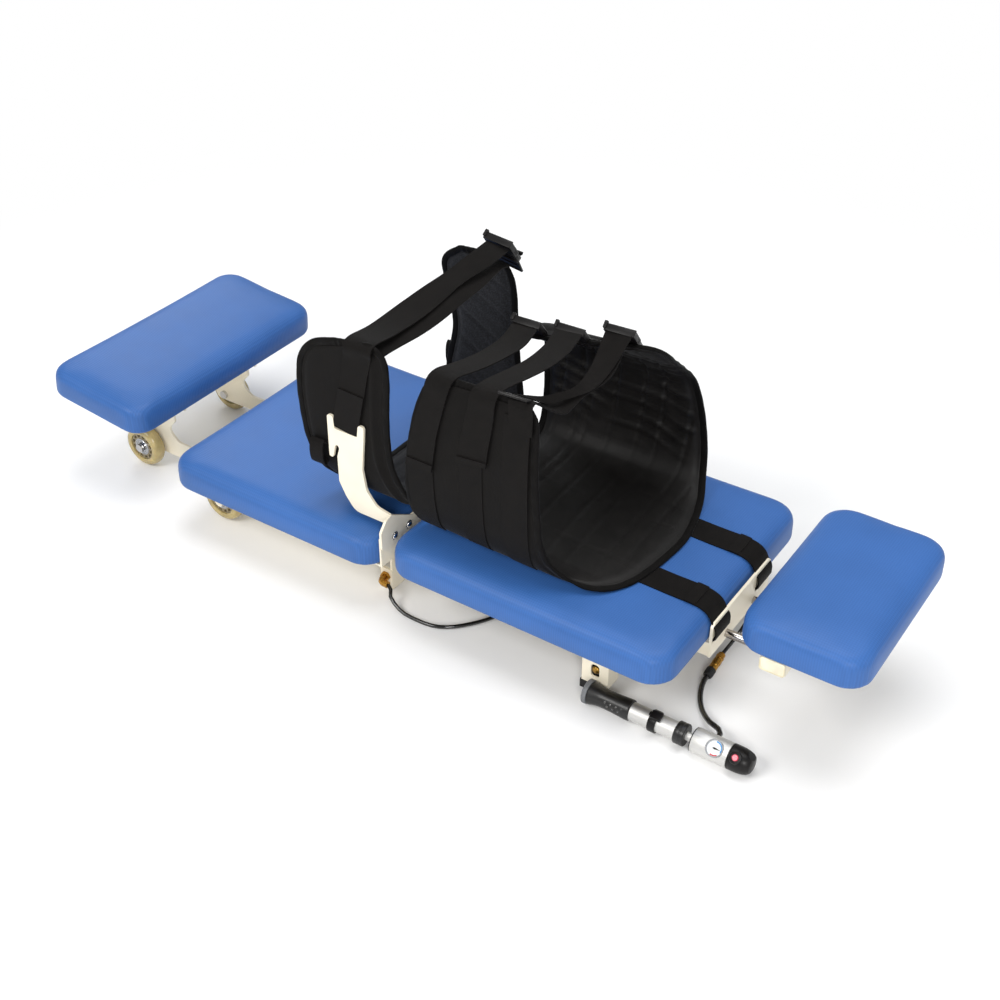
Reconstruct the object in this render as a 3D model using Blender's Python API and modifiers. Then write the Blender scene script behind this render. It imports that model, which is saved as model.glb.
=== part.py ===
"""Low floor-standing lumbar traction table.

The head and thorax section rolls away from the pelvis section on four skate
wheels, pushed by an air cylinder that a hand pump on the floor feeds. Metres,
+Z up, +X towards the feet, origin on the floor under the middle of the table.
"""
import math

import bmesh
import bpy
from mathutils import Matrix, Vector

# Clearances and cuts
GAP = 0.0003
OVERRUN = 0.01
LAP = 0.002

# Pads, from the head end to the foot end
HEAD_PAD_LENGTH = 0.1965
HEAD_PAD_WIDTH = 0.428
HEAD_GAP = 0.066
THORAX_PAD_LENGTH = 0.408
THORAX_PAD_WIDTH = 0.438
SECTION_GAP = 0.025
PELVIS_PAD_LENGTH = 0.461
PELVIS_PAD_WIDTH = 0.430
LEG_GAP = 0.0666
LEG_PAD_LENGTH = 0.1748
LEG_PAD_WIDTH = 0.3088
PAD_THICKNESS = 0.0525
PAD_CORNER = 0.040
PAD_ROLL = 0.018
PAD_CROWN = 0.004
PAD_DRAW = 0.0025
CORNER_STEPS = 6
ROLL_STEPS = 3
SIDE_STEPS = 2
CROWN_RING_SHARES = (0.90, 0.72, 0.45)
CROWN_RISE_SHARES = (0.50, 0.85, 1.0)
POCKET_RIM = 0.008
BOARD_THICKNESS = 0.012

# Heights of the pads' undersides, and the pillow's slope
HEAD_UNDER = 0.1505
HEAD_TILT = math.radians(6.0)
THORAX_UNDER = 0.090
PELVIS_UNDER = 0.1003
LEG_UNDER = 0.1747

# Places along the table
HEAD_PAD_PLAN = HEAD_PAD_LENGTH * math.cos(HEAD_TILT)
TABLE_LENGTH = (
    HEAD_PAD_PLAN + HEAD_GAP + THORAX_PAD_LENGTH + SECTION_GAP + PELVIS_PAD_LENGTH
    + LEG_GAP + LEG_PAD_LENGTH
)
HEAD_FOOT_X = -TABLE_LENGTH / 2 + HEAD_PAD_PLAN
THORAX_FOOT_X = HEAD_FOOT_X + HEAD_GAP + THORAX_PAD_LENGTH
PELVIS_HEAD_X = THORAX_FOOT_X + SECTION_GAP
PELVIS_FOOT_X = PELVIS_HEAD_X + PELVIS_PAD_LENGTH
LEG_FOOT_X = TABLE_LENGTH / 2

# Sheet steel
SHEET = 0.004
PAN_SHEET = 0.003
PLATE_CORNER = 0.006

# Wheels
WHEEL_RADIUS = 0.038
WHEEL_WIDTH = 0.024
TYRE_FACE_RADIUS = 0.0285
CORE_RADIUS = 0.0240
CORE_WIDTH = 0.018
CORE_WINDOW_OUTER = 0.0222
CORE_WINDOW_INNER = 0.0180
CORE_WINDOWS = 12
WINDOW_FILL_SHARE = 0.62
AXLE_RADIUS = 0.004
AXLE_HEAD_RADIUS = 0.0075
AXLE_HEAD_HEIGHT = 0.005
WHEEL_SPACE = 0.003
TREAD_ROUND_SHARE = 0.8
WHEEL_SIDES = 32

# Telescoping slide under the table
RAIL_Y = 0.070
RAIL_SIZE = 0.040
RAIL_WALL = 0.0025
RAIL_TOP = 0.0755
SLIDE_WALL = 0.0025
SLIDE_REACH = 0.190
CROSS_MEMBER_X = -0.1125
CROSS_MEMBER_LENGTH = 0.035
GAP_FOOT_X = -0.047
GAP_FOOT_LENGTH = 0.022
GAP_FOOT_HALF_WIDTH = 0.150
GAP_FOOT_FLANGE = 0.003
GUSSET_ROUND = 0.003
GUSSET_TOP = 0.038

# Arms that carry the head pad
ARM_Y = 0.092
ARM_BOTTOM = 0.026
ARM_TOP = 0.057
HEAD_AXLE_X = -0.616
HEAD_WHEEL_Y = 0.109
ARM_HEAD_X = -0.650
ARM_NUB_X = -0.5515
ARM_NUB_Z = 0.098
ARM_NOTCH_X = -0.571
ARM_NOTCH_Z = 0.078
ARM_ROOT_X = -0.549
ARM_ROOT_ROUND = 0.018
ARM_NOTCH_ROUND = 0.012
ARM_COLUMN_ROUND = 0.030
HEAD_PAN_INSET = 0.020
HEAD_PAN_HALF_WIDTH = 0.120
PAN_LIP = 0.022

# Thorax wheels and their cross channel
THORAX_AXLE_X = -0.392
THORAX_WHEEL_Y = 0.150
CHANNEL_LENGTH = 0.044

# Thorax pan and the harness brackets
PAN_INSET = 0.021
PAN_HALF_WIDTH = THORAX_PAD_WIDTH / 2 - PAN_INSET
PAN_FLANGE_TOP = 0.138
BRACKET_INSET = 0.045
BRACKET_Y = THORAX_PAD_WIDTH / 2 - BRACKET_INSET
BRACKET_BOTTOM = 0.152
BRACKET_LENGTH = 0.102
BRACKET_HEIGHT = 0.157
BRACKET_ROUND = 0.010
# Points (length, height, round) of the plate's horned part, and of its back edge
BRACKET_HORN_SHARES = (
    (0.99, 1.0, 0.4), (0.882, 1.0, 0.4), (0.873, 0.866, 0.3), (0.461, 0.866, 0.3),
    (0.431, 1.0, 0.4), (0.324, 1.0, 0.4), (0.402, 0.51, 1.0), (0.353, 0.293, 2.0),
    (0.186, 0.153, 1.5),
)
BRACKET_BACK_SHARES = (
    (0.588, 0.0, 2.0), (0.745, 0.14, 1.0), (0.853, 0.28, 1.0), (0.853, 0.561, 0.4),
    (0.804, 0.662, 0.3), (0.843, 0.701, 0.3), (0.882, 0.669, 0.3), (0.931, 0.535, 0.3),
    (1.0, 0.535, 0.3),
)
BRACKET_SHOULDER = 0.171
BRACKET_FOOT_BOTTOM = 0.112
BRACKET_FOOT_INNER = 0.048
BRACKET_FOOT_OUTER = 0.026
BRACKET_FOOT_ROUND = 0.006

# Pelvis section supports
HEAD_BEARER_X = 0.040
HEAD_BEARER_LENGTH = 0.040
HEAD_BEARER_HALF_WIDTH = 0.110
BEARER_WALL = 0.0025
FOOT_BEAM_X = 0.3295
FOOT_BEAM_LENGTH = 0.043
FOOT_BEAM_HALF_WIDTH = 0.1705
FOOT_BEAM_WALL = 0.003
FOOT_LEG_WIDTH = 0.030
FOOT_LEG_BOTTOM = 0.015
FOOT_SLOT_WIDTH = 0.014
FOOT_SLOT_TOP = 0.052
FOOT_SLOT_ROUND = 0.005
RUBBER_OVERHANG = 0.0025
RUBBER_LENGTH = 0.021
RUBBER_PLUG_HEIGHT = 0.010

# Crossbar at the pelvis pad's foot end
CROSSBAR_STANDOFF = 0.005
CROSSBAR_HALF_WIDTH = 0.092
CROSSBAR_BOTTOM = 0.0758
CROSSBAR_TOP = 0.1351
CROSSBAR_DEPTH = 0.060
STRAP_SLOT_BOTTOM = 0.1008
STRAP_SLOT_TOP = 0.1090
STRAP_SLOT_PLAY = 0.0006
STRAP_Y = 0.067
STRAP_WIDTH = 0.044
STRAP_THICKNESS = 0.002
STRAP_PLAY = 0.0012
PULL_STRAP_SHOWN = 0.100

# Leg pad carrier
ROD_RADIUS = 0.006
ROD_Y = 0.0433
ROD_Z = 0.087
ROD_HEAD_X = 0.240
ROD_BEND = 0.020
LEG_TUBE_X = 0.5785
LEG_TUBE_WIDTH = 0.036
LEG_TUBE_HEIGHT = 0.0214
LEG_TUBE_HALF_LENGTH = 0.150
LEG_TUBE_WALL = 0.002

# Air cylinder
CYLINDER_RADIUS = 0.022
CYLINDER_LENGTH = 0.210
CYLINDER_CAP_RADIUS = 0.0255
CYLINDER_CAP_LENGTH = 0.016
CYLINDER_Z = 0.0525
PISTON_ROD_RADIUS = 0.006
PISTON_BORE_DEPTH = 0.180
PISTON_REACH = 0.165
PISTON_NUT_RADIUS = 0.012
PISTON_NUT_LENGTH = 0.006

# Hand pump on the floor
PUMP_Y = -0.190
PUMP_RING_X = 0.3285
PUMP_RING_LENGTH = 0.0075
PUMP_RING_RADIUS = 0.0182
PUMP_GRIP_LENGTH = 0.0655
PUMP_GRIP_WAIST = 0.0138
PUMP_GRIP_END = 0.0155
PUMP_BARREL_RADIUS = 0.0133
PUMP_BARREL_LENGTH = 0.070
PUMP_CLIP_OFFSET = 0.030
PUMP_CLIP_LENGTH = 0.012
PUMP_CLIP_RADIUS = 0.0158
PUMP_COLLAR_RADIUS = 0.0162
PUMP_COLLAR_LENGTH = 0.015
PUMP_NECK_RADIUS = 0.0062
PUMP_NECK_SHOWN = 0.011
PUMP_NECK_INSIDE = 0.075
PUMP_EDGE = 0.002
BARREL_END = 0.0025
HOSE_PORT_FROM_HEAD = 0.026
PUMP_HEAD_RADIUS = 0.0182
PUMP_HEAD_LENGTH = 0.055
PUMP_CAP_LENGTH = 0.033
PUMP_FACE_TURN = math.radians(43.0)
DIAL_RADIUS = 0.0125
DIAL_RIM = 0.0015
DIAL_HEIGHT = 0.0026
DIAL_WELL = 0.0012
DIAL_FROM_CAP = 0.020
NEEDLE_LENGTH = 0.009
NEEDLE_WIDTH = 0.0014
NEEDLE_THICKNESS = 0.0005
NEEDLE_TAIL_SHARE = 0.30
BUTTON_RADIUS = 0.0046
BUTTON_HEIGHT = 0.004
BUTTON_TRAVEL = 0.0015
BUTTON_FROM_HEAD = 0.011

# Air line
LINE_RADIUS = 0.0030
THIN_LINE_RADIUS = 0.0028
PUMP_LINE_RADIUS = 0.0040
LINE_SPACING = 0.013
ELBOW_RADIUS = 0.0055
ELBOW_NUT_RADIUS = 0.0085
ELBOW_BEND_SHARE = 1.5
ELBOW_Z = 0.0245
COUPLING_RADIUS = 0.0062
SLEEVE_RADIUS = 0.0072
SLEEVE_LENGTH = 0.016

# Soft goods. Each row of shares is (head point, foot point), and a point is
# (length, half width, height) from the pad's end, its middle and its top.
PADDING = 0.008
HARNESS_LENGTH = 0.157
HARNESS_SPACE = 0.007
HARNESS_HALF_WIDTH = BRACKET_Y - HARNESS_SPACE
HARNESS_HEIGHT = 0.303
HARNESS_ROW_SHARES = (
    ((-0.567, -1.0, 0.954), (-0.102, -1.0, 0.957)),
    ((-0.834, -1.0, 0.915), (0.102, -1.0, 0.928)),
    ((-0.987, -1.0, 0.816), (0.108, -1.0, 0.816)),
    ((-1.0, -1.0, 0.66), (0.07, -1.0, 0.66)),
    ((-0.987, -1.0, 0.499), (0.045, -1.0, 0.499)),
    ((-0.936, -1.0, 0.34), (0.045, -1.0, 0.34)),
    ((-0.834, -0.988, 0.235), (0.121, -0.988, 0.235)),
    ((-0.739, -0.91, 0.142), (0.172, -0.91, 0.142)),
    ((-0.694, -0.731, 0.063), (0.172, -0.731, 0.063)),
    ((-0.682, -0.479, 0.014), (0.159, -0.479, 0.014)),
    ((-0.669, 0.0, 0.0), (0.146, 0.0, 0.0)),
    ((-0.669, 0.479, 0.014), (0.146, 0.479, 0.014)),
    ((-0.682, 0.731, 0.063), (0.14, 0.731, 0.063)),
    ((-0.707, 0.874, 0.159), (0.134, 0.874, 0.159)),
    ((-0.758, 0.922, 0.274), (0.121, 0.922, 0.274)),
    ((-0.682, 0.934, 0.479), (0.108, 0.934, 0.479)),
    ((-0.707, 0.928, 0.621), (0.108, 0.928, 0.621)),
    ((-0.79, 0.91, 0.809), (0.096, 0.91, 0.809)),
    ((-0.783, 0.886, 0.918), (0.057, 0.886, 0.918)),
    ((-0.58, 0.85, 1.0), (-0.032, 0.85, 1.0)),
)
CHEST_STRAP_SHARES = (
    (-0.178, -1.0, 0.885),
    (-0.178, -1.0, 0.967),
    (-0.172, -0.8982, 0.997),
    (-0.159, -0.479, 1.027),
    (-0.134, 0.0, 1.073),
    (-0.108, 0.5371, 1.113),
)
BELT_LENGTH = 0.356
BELT_INSET = 0.035
BELT_HALF_WIDTH = PELVIS_PAD_WIDTH / 2 - BELT_INSET
BELT_HEIGHT = 0.305
BELT_ROW_SHARES = (
    ((0.174, -0.956, 0.914), (0.612, -0.944, 0.927)),
    ((0.146, -0.972, 0.845), (0.632, -0.967, 0.861)),
    ((0.107, -0.989, 0.714), (0.64, -0.989, 0.714)),
    ((0.079, -1.0, 0.55), (0.646, -1.0, 0.55)),
    ((0.062, -1.0, 0.386), (0.654, -0.994, 0.386)),
    ((0.056, -0.978, 0.232), (0.666, -0.978, 0.222)),
    ((0.067, -0.922, 0.107), (0.702, -0.933, 0.107)),
    ((0.09, -0.811, 0.032), (0.784, -0.85, 0.032)),
    ((0.107, -0.622, 0.002), (0.888, -0.733, 0.006)),
    ((0.124, -0.389, 0.0), (0.961, -0.478, 0.0)),
    ((0.135, 0.0, 0.0), (1.0, 0.033, 0.0)),
    ((0.14, 0.389, 0.0), (0.992, 0.333, 0.0)),
    ((0.146, 0.656, 0.009), (0.949, 0.656, 0.012)),
    ((0.152, 0.833, 0.074), (0.913, 0.844, 0.081)),
    ((0.157, 0.911, 0.222), (0.899, 0.917, 0.232)),
    ((0.163, 0.922, 0.419), (0.876, 0.9, 0.435)),
    ((0.169, 0.878, 0.583), (0.848, 0.833, 0.615)),
    ((0.18, 0.733, 0.714), (0.848, 0.622, 0.75)),
    ((0.197, 0.5, 0.812), (0.86, 0.344, 0.888)),
    ((0.213, 0.25, 0.888), (0.865, 0.122, 0.999)),
)
# Places along the belt and heights of each strap's hem, top edge and buckle
BELT_STRAP_SHARES = {
    "head": ((0.118, 0.25, 0.284), (0.415, 0.927, 0.951)),
    "middle": ((0.379, 0.461, 0.483), (0.54, 0.927, 0.979)),
    "foot": ((0.576, 0.612, 0.702), (0.77, 0.927, 1.049)),
}
STRAP_OVER_EDGE = 0.009
STRAP_ARCH = 0.020
BUCKLE_DEPTH = 0.030
BUCKLE_HEIGHT = 0.008
BUCKLE_EDGE = 0.002
CHEST_BUCKLE_WIDTH = 0.050
BELT_BUCKLE_WIDTH = 0.049
SEAM_BITE = 0.0012
SHELL_COLUMN_STEPS = 4
SHELL_STEPS = 36
WEBBING_STEP = 0.020

collection = bpy.data.collections.new("traction_table")
cutters = bpy.data.collections.new("cutters")


# Materials and helpers

def linear(channel):
    """The linear value of one sRGB channel from 0 to 1."""
    return channel / 12.92 if channel <= 0.04045 else ((channel + 0.055) / 1.055) ** 2.4


def material(name, colour, roughness, metallic=0.0):
    made = bpy.data.materials.get(name)
    if made is None:
        made = bpy.data.materials.new(name)
        made.use_nodes = True
        shader = made.node_tree.nodes["Principled BSDF"]
        channels = [int(colour[i:i + 2], 16) / 255 for i in (0, 2, 4)]
        shader.inputs["Base Color"].default_value = (*map(linear, channels), 1.0)
        shader.inputs["Roughness"].default_value = roughness
        shader.inputs["Metallic"].default_value = metallic
    return made


def blue_vinyl():
    return material("blue_vinyl", "5C84C4", 0.55)


def plywood():
    return material("plywood", "B08C5E", 0.7)


def cream_steel():
    return material("cream_steel", "F2EAD8", 0.4)


def chrome():
    return material("chrome", "C8CACC", 0.15, 1.0)


def silver():
    return material("silver_aluminium", "C6C4BE", 0.3, 1.0)


def black_plastic():
    return material("black_plastic", "1A1818", 0.4)


def grey_plastic():
    return material("grey_plastic", "77797C", 0.5)


def black_rubber():
    return material("black_rubber", "141313", 0.7)


def brass():
    return material("brass", "B98A42", 0.3, 1.0)


def black_fabric():
    return material("black_fabric", "1C1B1B", 0.9)


def amber_tyre():
    return material("amber_tyre", "B49F62", 0.35)


def dark_core():
    return material("dark_core", "6F5F39", 0.4)


def dial_white():
    return material("dial_white", "E9EEF2", 0.4)


def red_plastic():
    return material("red_plastic", "D8475F", 0.35)


def clear_scene():
    for existing in list(bpy.data.objects):
        bpy.data.objects.remove(existing)
    for group in (collection, cutters):
        bpy.context.scene.collection.children.link(group)


def named(name, data, look, sharp_angle=None):
    """An object of this data, with its material, in the part's collection."""
    made = bpy.data.objects.new(name, data)
    data.materials.append(look)
    collection.objects.link(made)
    if sharp_angle is not None:
        data.shade_smooth()
        data.set_sharp_from_angle(angle=math.radians(sharp_angle))
    return made


def as_cutter(tool):
    """Moves an object to the cutters, which no render shows."""
    collection.objects.unlink(tool)
    cutters.objects.link(tool)
    tool.hide_render = True
    tool.display_type = "WIRE"


def combine(target, tool, operation):
    modifier = target.modifiers.new(operation.lower(), "BOOLEAN")
    modifier.operation = operation
    modifier.solver = "EXACT"
    modifier.object = tool
    as_cutter(tool)


def cut(target, *tools):
    for tool in tools:
        combine(target, tool, "DIFFERENCE")


def join(target, *tools):
    for tool in tools:
        combine(target, tool, "UNION")


def solid(curve_object):
    """The same shape as a mesh object, with a curve's loose caps welded."""
    bpy.context.view_layer.update()
    graph = bpy.context.evaluated_depsgraph_get()
    mesh = bpy.data.meshes.new_from_object(curve_object.evaluated_get(graph))
    bm = bmesh.new()
    bm.from_mesh(mesh)
    bmesh.ops.remove_doubles(bm, verts=bm.verts, dist=GAP / 30)
    bmesh.ops.recalc_face_normals(bm, faces=bm.faces)
    bm.to_mesh(mesh)
    bm.free()
    name = curve_object.name
    place = curve_object.matrix_world.copy()
    bpy.data.objects.remove(curve_object)
    made = bpy.data.objects.new(name, mesh)
    made.matrix_world = place
    collection.objects.link(made)
    return made


def box(name, low, high, look):
    low, high = Vector(low), Vector(high)
    bm = bmesh.new()
    bmesh.ops.create_cube(bm, size=1.0)
    bmesh.ops.scale(bm, vec=high - low, verts=bm.verts)
    mesh = bpy.data.meshes.new(name)
    bm.to_mesh(mesh)
    bm.free()
    made = named(name, mesh, look)
    made.location = (low + high) / 2
    return made


def rounded(corners, steps=4):
    """Outline points from (u, v, radius) corners, with an arc at each."""
    points = []
    for index, (u, v, radius) in enumerate(corners):
        here = Vector((u, v))
        before = Vector(corners[index - 1][:2]) - here
        after = Vector(corners[(index + 1) % len(corners)][:2]) - here
        if radius == 0:
            points.append(here)
            continue
        half = before.angle(after) / 2
        reach = radius / math.tan(half)
        middle = here + (before.normalized() + after.normalized()).normalized() * radius / math.sin(half)
        first = here + before.normalized() * reach - middle
        last = here + after.normalized() * reach - middle
        start = math.atan2(first.y, first.x)
        turn = (math.atan2(last.y, last.x) - start + math.pi) % math.tau - math.pi
        for step in range(steps + 1):
            at = start + turn * step / steps
            points.append(middle + Vector((math.cos(at), math.sin(at))) * radius)
    return points


def circle(middle_u, middle_v, radius, sides=24):
    return [
        Vector((middle_u + radius * math.cos(math.tau * k / sides),
                middle_v + radius * math.sin(math.tau * k / sides)))
        for k in range(sides)
    ]


def rectangle(low_u, low_v, high_u, high_v, radius=0.0, steps=4):
    corners = ((low_u, low_v), (high_u, low_v), (high_u, high_v), (low_u, high_v))
    return rounded([(*corner, radius) for corner in corners], steps)


PLANES = {
    "XZ": Matrix(((1, 0, 0), (0, 0, -1), (0, 1, 0))),
    "YZ": Matrix(((0, 0, 1), (1, 0, 0), (0, 1, 0))),
    "XY": Matrix.Identity(3),
}


def plate(name, outlines, thickness, plane, middle, look):
    """A flat outline with its holes, centred on its plane at `middle`."""
    data = bpy.data.curves.new(name, "CURVE")
    data.dimensions = "2D"
    data.fill_mode = "BOTH"
    data.extrude = thickness / 2
    for outline in outlines:
        spline = data.splines.new("POLY")
        spline.points.add(len(outline) - 1)
        for point, place in zip(spline.points, outline):
            point.co = (*place, 0, 1)
        spline.use_cyclic_u = True
    made = named(name, data, look)
    turn = PLANES[plane].to_4x4()
    normal = turn @ Vector((0, 0, 1))
    lift = Vector([abs(part) for part in normal]) * middle
    made.matrix_world = Matrix.Translation(lift) @ turn
    return made


def turned(name, profile, place, direction, look, sides=24, ring=False):
    """Turns (radius, height) points, which run down the outer side."""
    bm = bmesh.new()
    verts = [bm.verts.new((radius, 0, height)) for radius, height in profile]
    for first, second in zip(verts, verts[1:] + (verts[:1] if ring else [])):
        bm.edges.new((first, second))
    mesh = bpy.data.meshes.new(name)
    bm.to_mesh(mesh)
    bm.free()
    made = named(name, mesh, look)
    screw = made.modifiers.new("turn", "SCREW")
    screw.steps = screw.render_steps = sides
    screw.use_merge_vertices = True
    screw.merge_threshold = GAP / 30
    screw.use_smooth_shade = True
    made.rotation_mode = "QUATERNION"
    made.rotation_quaternion = Vector((0, 0, 1)).rotation_difference(Vector(direction))
    made.location = place
    return made


def smooth_route(points, spacing):
    """Evenly spaced points on a smooth curve through the route's points."""
    points = [Vector(point) for point in points]
    ends = [points[0] * 2 - points[1], *points, points[-1] * 2 - points[-2]]
    fine = []
    for k in range(1, len(ends) - 2):
        a, b, c, d = ends[k - 1:k + 3]
        for step in range(20):
            t = step / 20
            fine.append(0.5 * (2 * b + (c - a) * t + (2 * a - 5 * b + 4 * c - d) * t ** 2
                               + (3 * b - a - 3 * c + d) * t ** 3))
    fine.append(points[-1])
    length = sum((q - p).length for p, q in zip(fine, fine[1:]))
    count = max(2, round(length / spacing))
    spaced, run, target = [fine[0]], 0.0, length / count
    for p, q in zip(fine, fine[1:]):
        step = (q - p).length
        while run + step >= target and len(spaced) < count:
            spaced.append(p.lerp(q, (target - run) / step))
            target += length / count
        run += step
    spaced.append(fine[-1])
    return spaced


def hose_route(start, start_direction, between, end, end_direction, lead, spacing):
    """A smooth route whose two ends run straight for the lead length."""
    first = Vector(start) + Vector(start_direction) * lead
    last = Vector(end) - Vector(end_direction) * lead
    whole = smooth_route([start, first, *between, last, end], spacing)
    middle = [point for point in whole
              if (point - Vector(start)).length > 1.6 * lead and (point - Vector(end)).length > 1.6 * lead]
    return [Vector(start), first, *middle, last, Vector(end)]


def tube(name, points, radius, look, resolution=2):
    data = bpy.data.curves.new(name, "CURVE")
    data.dimensions = "3D"
    data.bevel_depth = radius
    data.bevel_resolution = resolution
    data.use_fill_caps = True
    spline = data.splines.new("POLY")
    spline.points.add(len(points) - 1)
    for point, place in zip(spline.points, points):
        point.co = (*place, 1)
    return named(name, data, look)


def open_box(name, low, high, wall, look):
    """A box of sheet without a bottom, its outer faces at low and high."""
    low, high = Vector(low), Vector(high)
    bm = bmesh.new()
    bmesh.ops.create_cube(bm, size=1.0)
    bmesh.ops.scale(bm, vec=high - low, verts=bm.verts)
    bottom = min(bm.faces, key=lambda face: face.calc_center_median().z)
    bmesh.ops.delete(bm, geom=[bottom], context="FACES_ONLY")
    mesh = bpy.data.meshes.new(name)
    bm.to_mesh(mesh)
    bm.free()
    made = named(name, mesh, look)
    made.location = (low + high) / 2
    shell = made.modifiers.new("wall", "SOLIDIFY")
    shell.thickness = wall
    shell.offset = -1.0
    shell.use_even_offset = True
    return made


def loft(name, rows, columns, steps, thickness, look):
    """A padded shell through rows of (head point, foot point)."""
    count = steps + 1

    def resample(route):
        fine = smooth_route(route, thickness / 2)
        return [fine[round(k * (len(fine) - 1) / steps)] for k in range(count)]

    heads = resample([row[0] for row in rows])
    feet = resample([row[1] for row in rows])
    bm = bmesh.new()
    grid = [
        [bm.verts.new(head.lerp(foot, v / columns)) for v in range(columns + 1)]
        for head, foot in zip(heads, feet)
    ]
    for row, following in zip(grid, grid[1:]):
        for v in range(columns):
            bm.faces.new((row[v], row[v + 1], following[v + 1], following[v]))
    mesh = bpy.data.meshes.new(name)
    bm.to_mesh(mesh)
    bm.free()
    made = named(name, mesh, look, sharp_angle=50)
    shell = made.modifiers.new("padding", "SOLIDIFY")
    shell.thickness = thickness
    shell.offset = 0.0
    shell.use_even_offset = True
    return made


def ribbon(name, route, width, thickness, look):
    """Webbing along a route, with its width along X."""
    side = Vector((width / 2, 0, 0))
    rows = [(Vector(point) - side, Vector(point) + side) for point in route]
    length = sum((q[0] - p[0]).length for p, q in zip(rows, rows[1:]))
    return loft(name, rows, 1, max(4, round(length / WEBBING_STEP)), thickness, look)


# Pads

def cushion(name, length, width, foot_x, under, pocket=BOARD_THICKNESS, tilt=0.0):
    """A crowned pad with rolled top edges and a pocket for its board."""
    wall = PAD_THICKNESS - PAD_ROLL - PAD_CROWN
    bm = bmesh.new()
    bmesh.ops.create_cube(bm, size=1.0)
    bmesh.ops.scale(bm, vec=(length, width, wall), verts=bm.verts)
    bmesh.ops.translate(bm, vec=(-length / 2, 0, wall / 2), verts=bm.verts)

    def uprights():
        return [edge for edge in bm.edges if abs(edge.verts[0].co.z - edge.verts[1].co.z) > wall / 2]

    bmesh.ops.bevel(bm, geom=uprights(), offset=PAD_CORNER, segments=CORNER_STEPS,
                    profile=0.5, affect="EDGES")
    bmesh.ops.subdivide_edges(bm, edges=uprights(), cuts=SIDE_STEPS, use_grid_fill=True)
    bm.normal_update()
    for vert in [v for v in bm.verts if wall / 10 < v.co.z < wall - wall / 10]:
        outward = Vector((vert.normal.x, vert.normal.y, 0)).normalized()
        vert.co -= outward * PAD_DRAW * math.sin(math.pi * vert.co.z / wall)
    top = max(bm.faces, key=lambda face: face.calc_center_median().z)
    for step in range(ROLL_STEPS):
        before, after = (math.pi / 2 * k / ROLL_STEPS for k in (step, step + 1))
        bmesh.ops.inset_region(bm, faces=[top], use_even_offset=True,
                               thickness=PAD_ROLL * (math.cos(before) - math.cos(after)),
                               depth=PAD_ROLL * (math.sin(after) - math.sin(before)))
    rolled = top.calc_center_median().z
    middle = Matrix.Translation((length / 2, 0, 0))
    scaled, risen = 1.0, 0.0
    for ring_share, rise_share in zip(CROWN_RING_SHARES, CROWN_RISE_SHARES):
        top = bmesh.ops.extrude_discrete_faces(bm, faces=[top])["faces"][0]
        factor = ring_share / scaled
        bmesh.ops.scale(bm, vec=(factor, factor, 1), space=middle, verts=top.verts)
        bmesh.ops.translate(bm, vec=(0, 0, PAD_CROWN * (rise_share - risen)), verts=top.verts)
        scaled, risen = ring_share, rise_share
    if pocket:
        bottom = min(bm.faces, key=lambda face: face.calc_center_median().z)
        bmesh.ops.inset_region(bm, faces=[bottom], thickness=POCKET_RIM, use_even_offset=True)
        raised = bmesh.ops.extrude_discrete_faces(bm, faces=[bottom])["faces"][0]
        bmesh.ops.translate(bm, vec=(0, 0, pocket), verts=raised.verts)
    mesh = bpy.data.meshes.new(name)
    bm.to_mesh(mesh)
    bm.free()
    made = named(name, mesh, blue_vinyl(), sharp_angle=40)
    made.location = (foot_x, 0, under)
    made.rotation_euler = (0, tilt, 0)
    return made


def board(name, length, width, foot_x, under):
    """The plywood board, with the same faceted corners as its pocket."""
    inset = POCKET_RIM + GAP
    outline = rectangle(foot_x - length + inset, -width / 2 + inset, foot_x - inset,
                        width / 2 - inset, PAD_CORNER - inset, CORNER_STEPS)
    thickness = BOARD_THICKNESS - GAP
    return plate(name, [outline], thickness, "XY", under + thickness / 2, plywood())


def build_pads():
    cushion("head_cushion", HEAD_PAD_LENGTH, HEAD_PAD_WIDTH, HEAD_FOOT_X, HEAD_UNDER, 0.0, HEAD_TILT)
    cushion("thorax_cushion", THORAX_PAD_LENGTH, THORAX_PAD_WIDTH, THORAX_FOOT_X, THORAX_UNDER)
    cushion("pelvis_cushion", PELVIS_PAD_LENGTH, PELVIS_PAD_WIDTH, PELVIS_FOOT_X, PELVIS_UNDER)
    cushion("leg_cushion", LEG_PAD_LENGTH, LEG_PAD_WIDTH, LEG_FOOT_X, LEG_UNDER)
    board("thorax_board", THORAX_PAD_LENGTH, THORAX_PAD_WIDTH, THORAX_FOOT_X, THORAX_UNDER)
    board("pelvis_board", PELVIS_PAD_LENGTH, PELVIS_PAD_WIDTH, PELVIS_FOOT_X, PELVIS_UNDER)
    board("leg_board", LEG_PAD_LENGTH, LEG_PAD_WIDTH, LEG_FOOT_X, LEG_UNDER)


# Rolling head and thorax section

SIDES = {"near": -1, "far": 1}
PAN_TOP = THORAX_UNDER - GAP
FRAME_TOP = PAN_TOP - PAN_SHEET - GAP
CROSS_MEMBER_LOW_X = CROSS_MEMBER_X - CROSS_MEMBER_LENGTH / 2
CROSS_MEMBER_HIGH_X = CROSS_MEMBER_X + CROSS_MEMBER_LENGTH / 2
SLIDE_SIZE = RAIL_SIZE - 2 * RAIL_WALL - 2 * GAP
RAIL_Z = RAIL_TOP - RAIL_SIZE / 2
ARM_INNER_Y = ARM_Y - SHEET / 2


def pan_underside(x):
    """Height of the tilted head pan's underside at this place."""
    return HEAD_UNDER - (GAP + SHEET) / math.cos(HEAD_TILT) + (HEAD_FOOT_X - x) * math.tan(HEAD_TILT)


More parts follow.
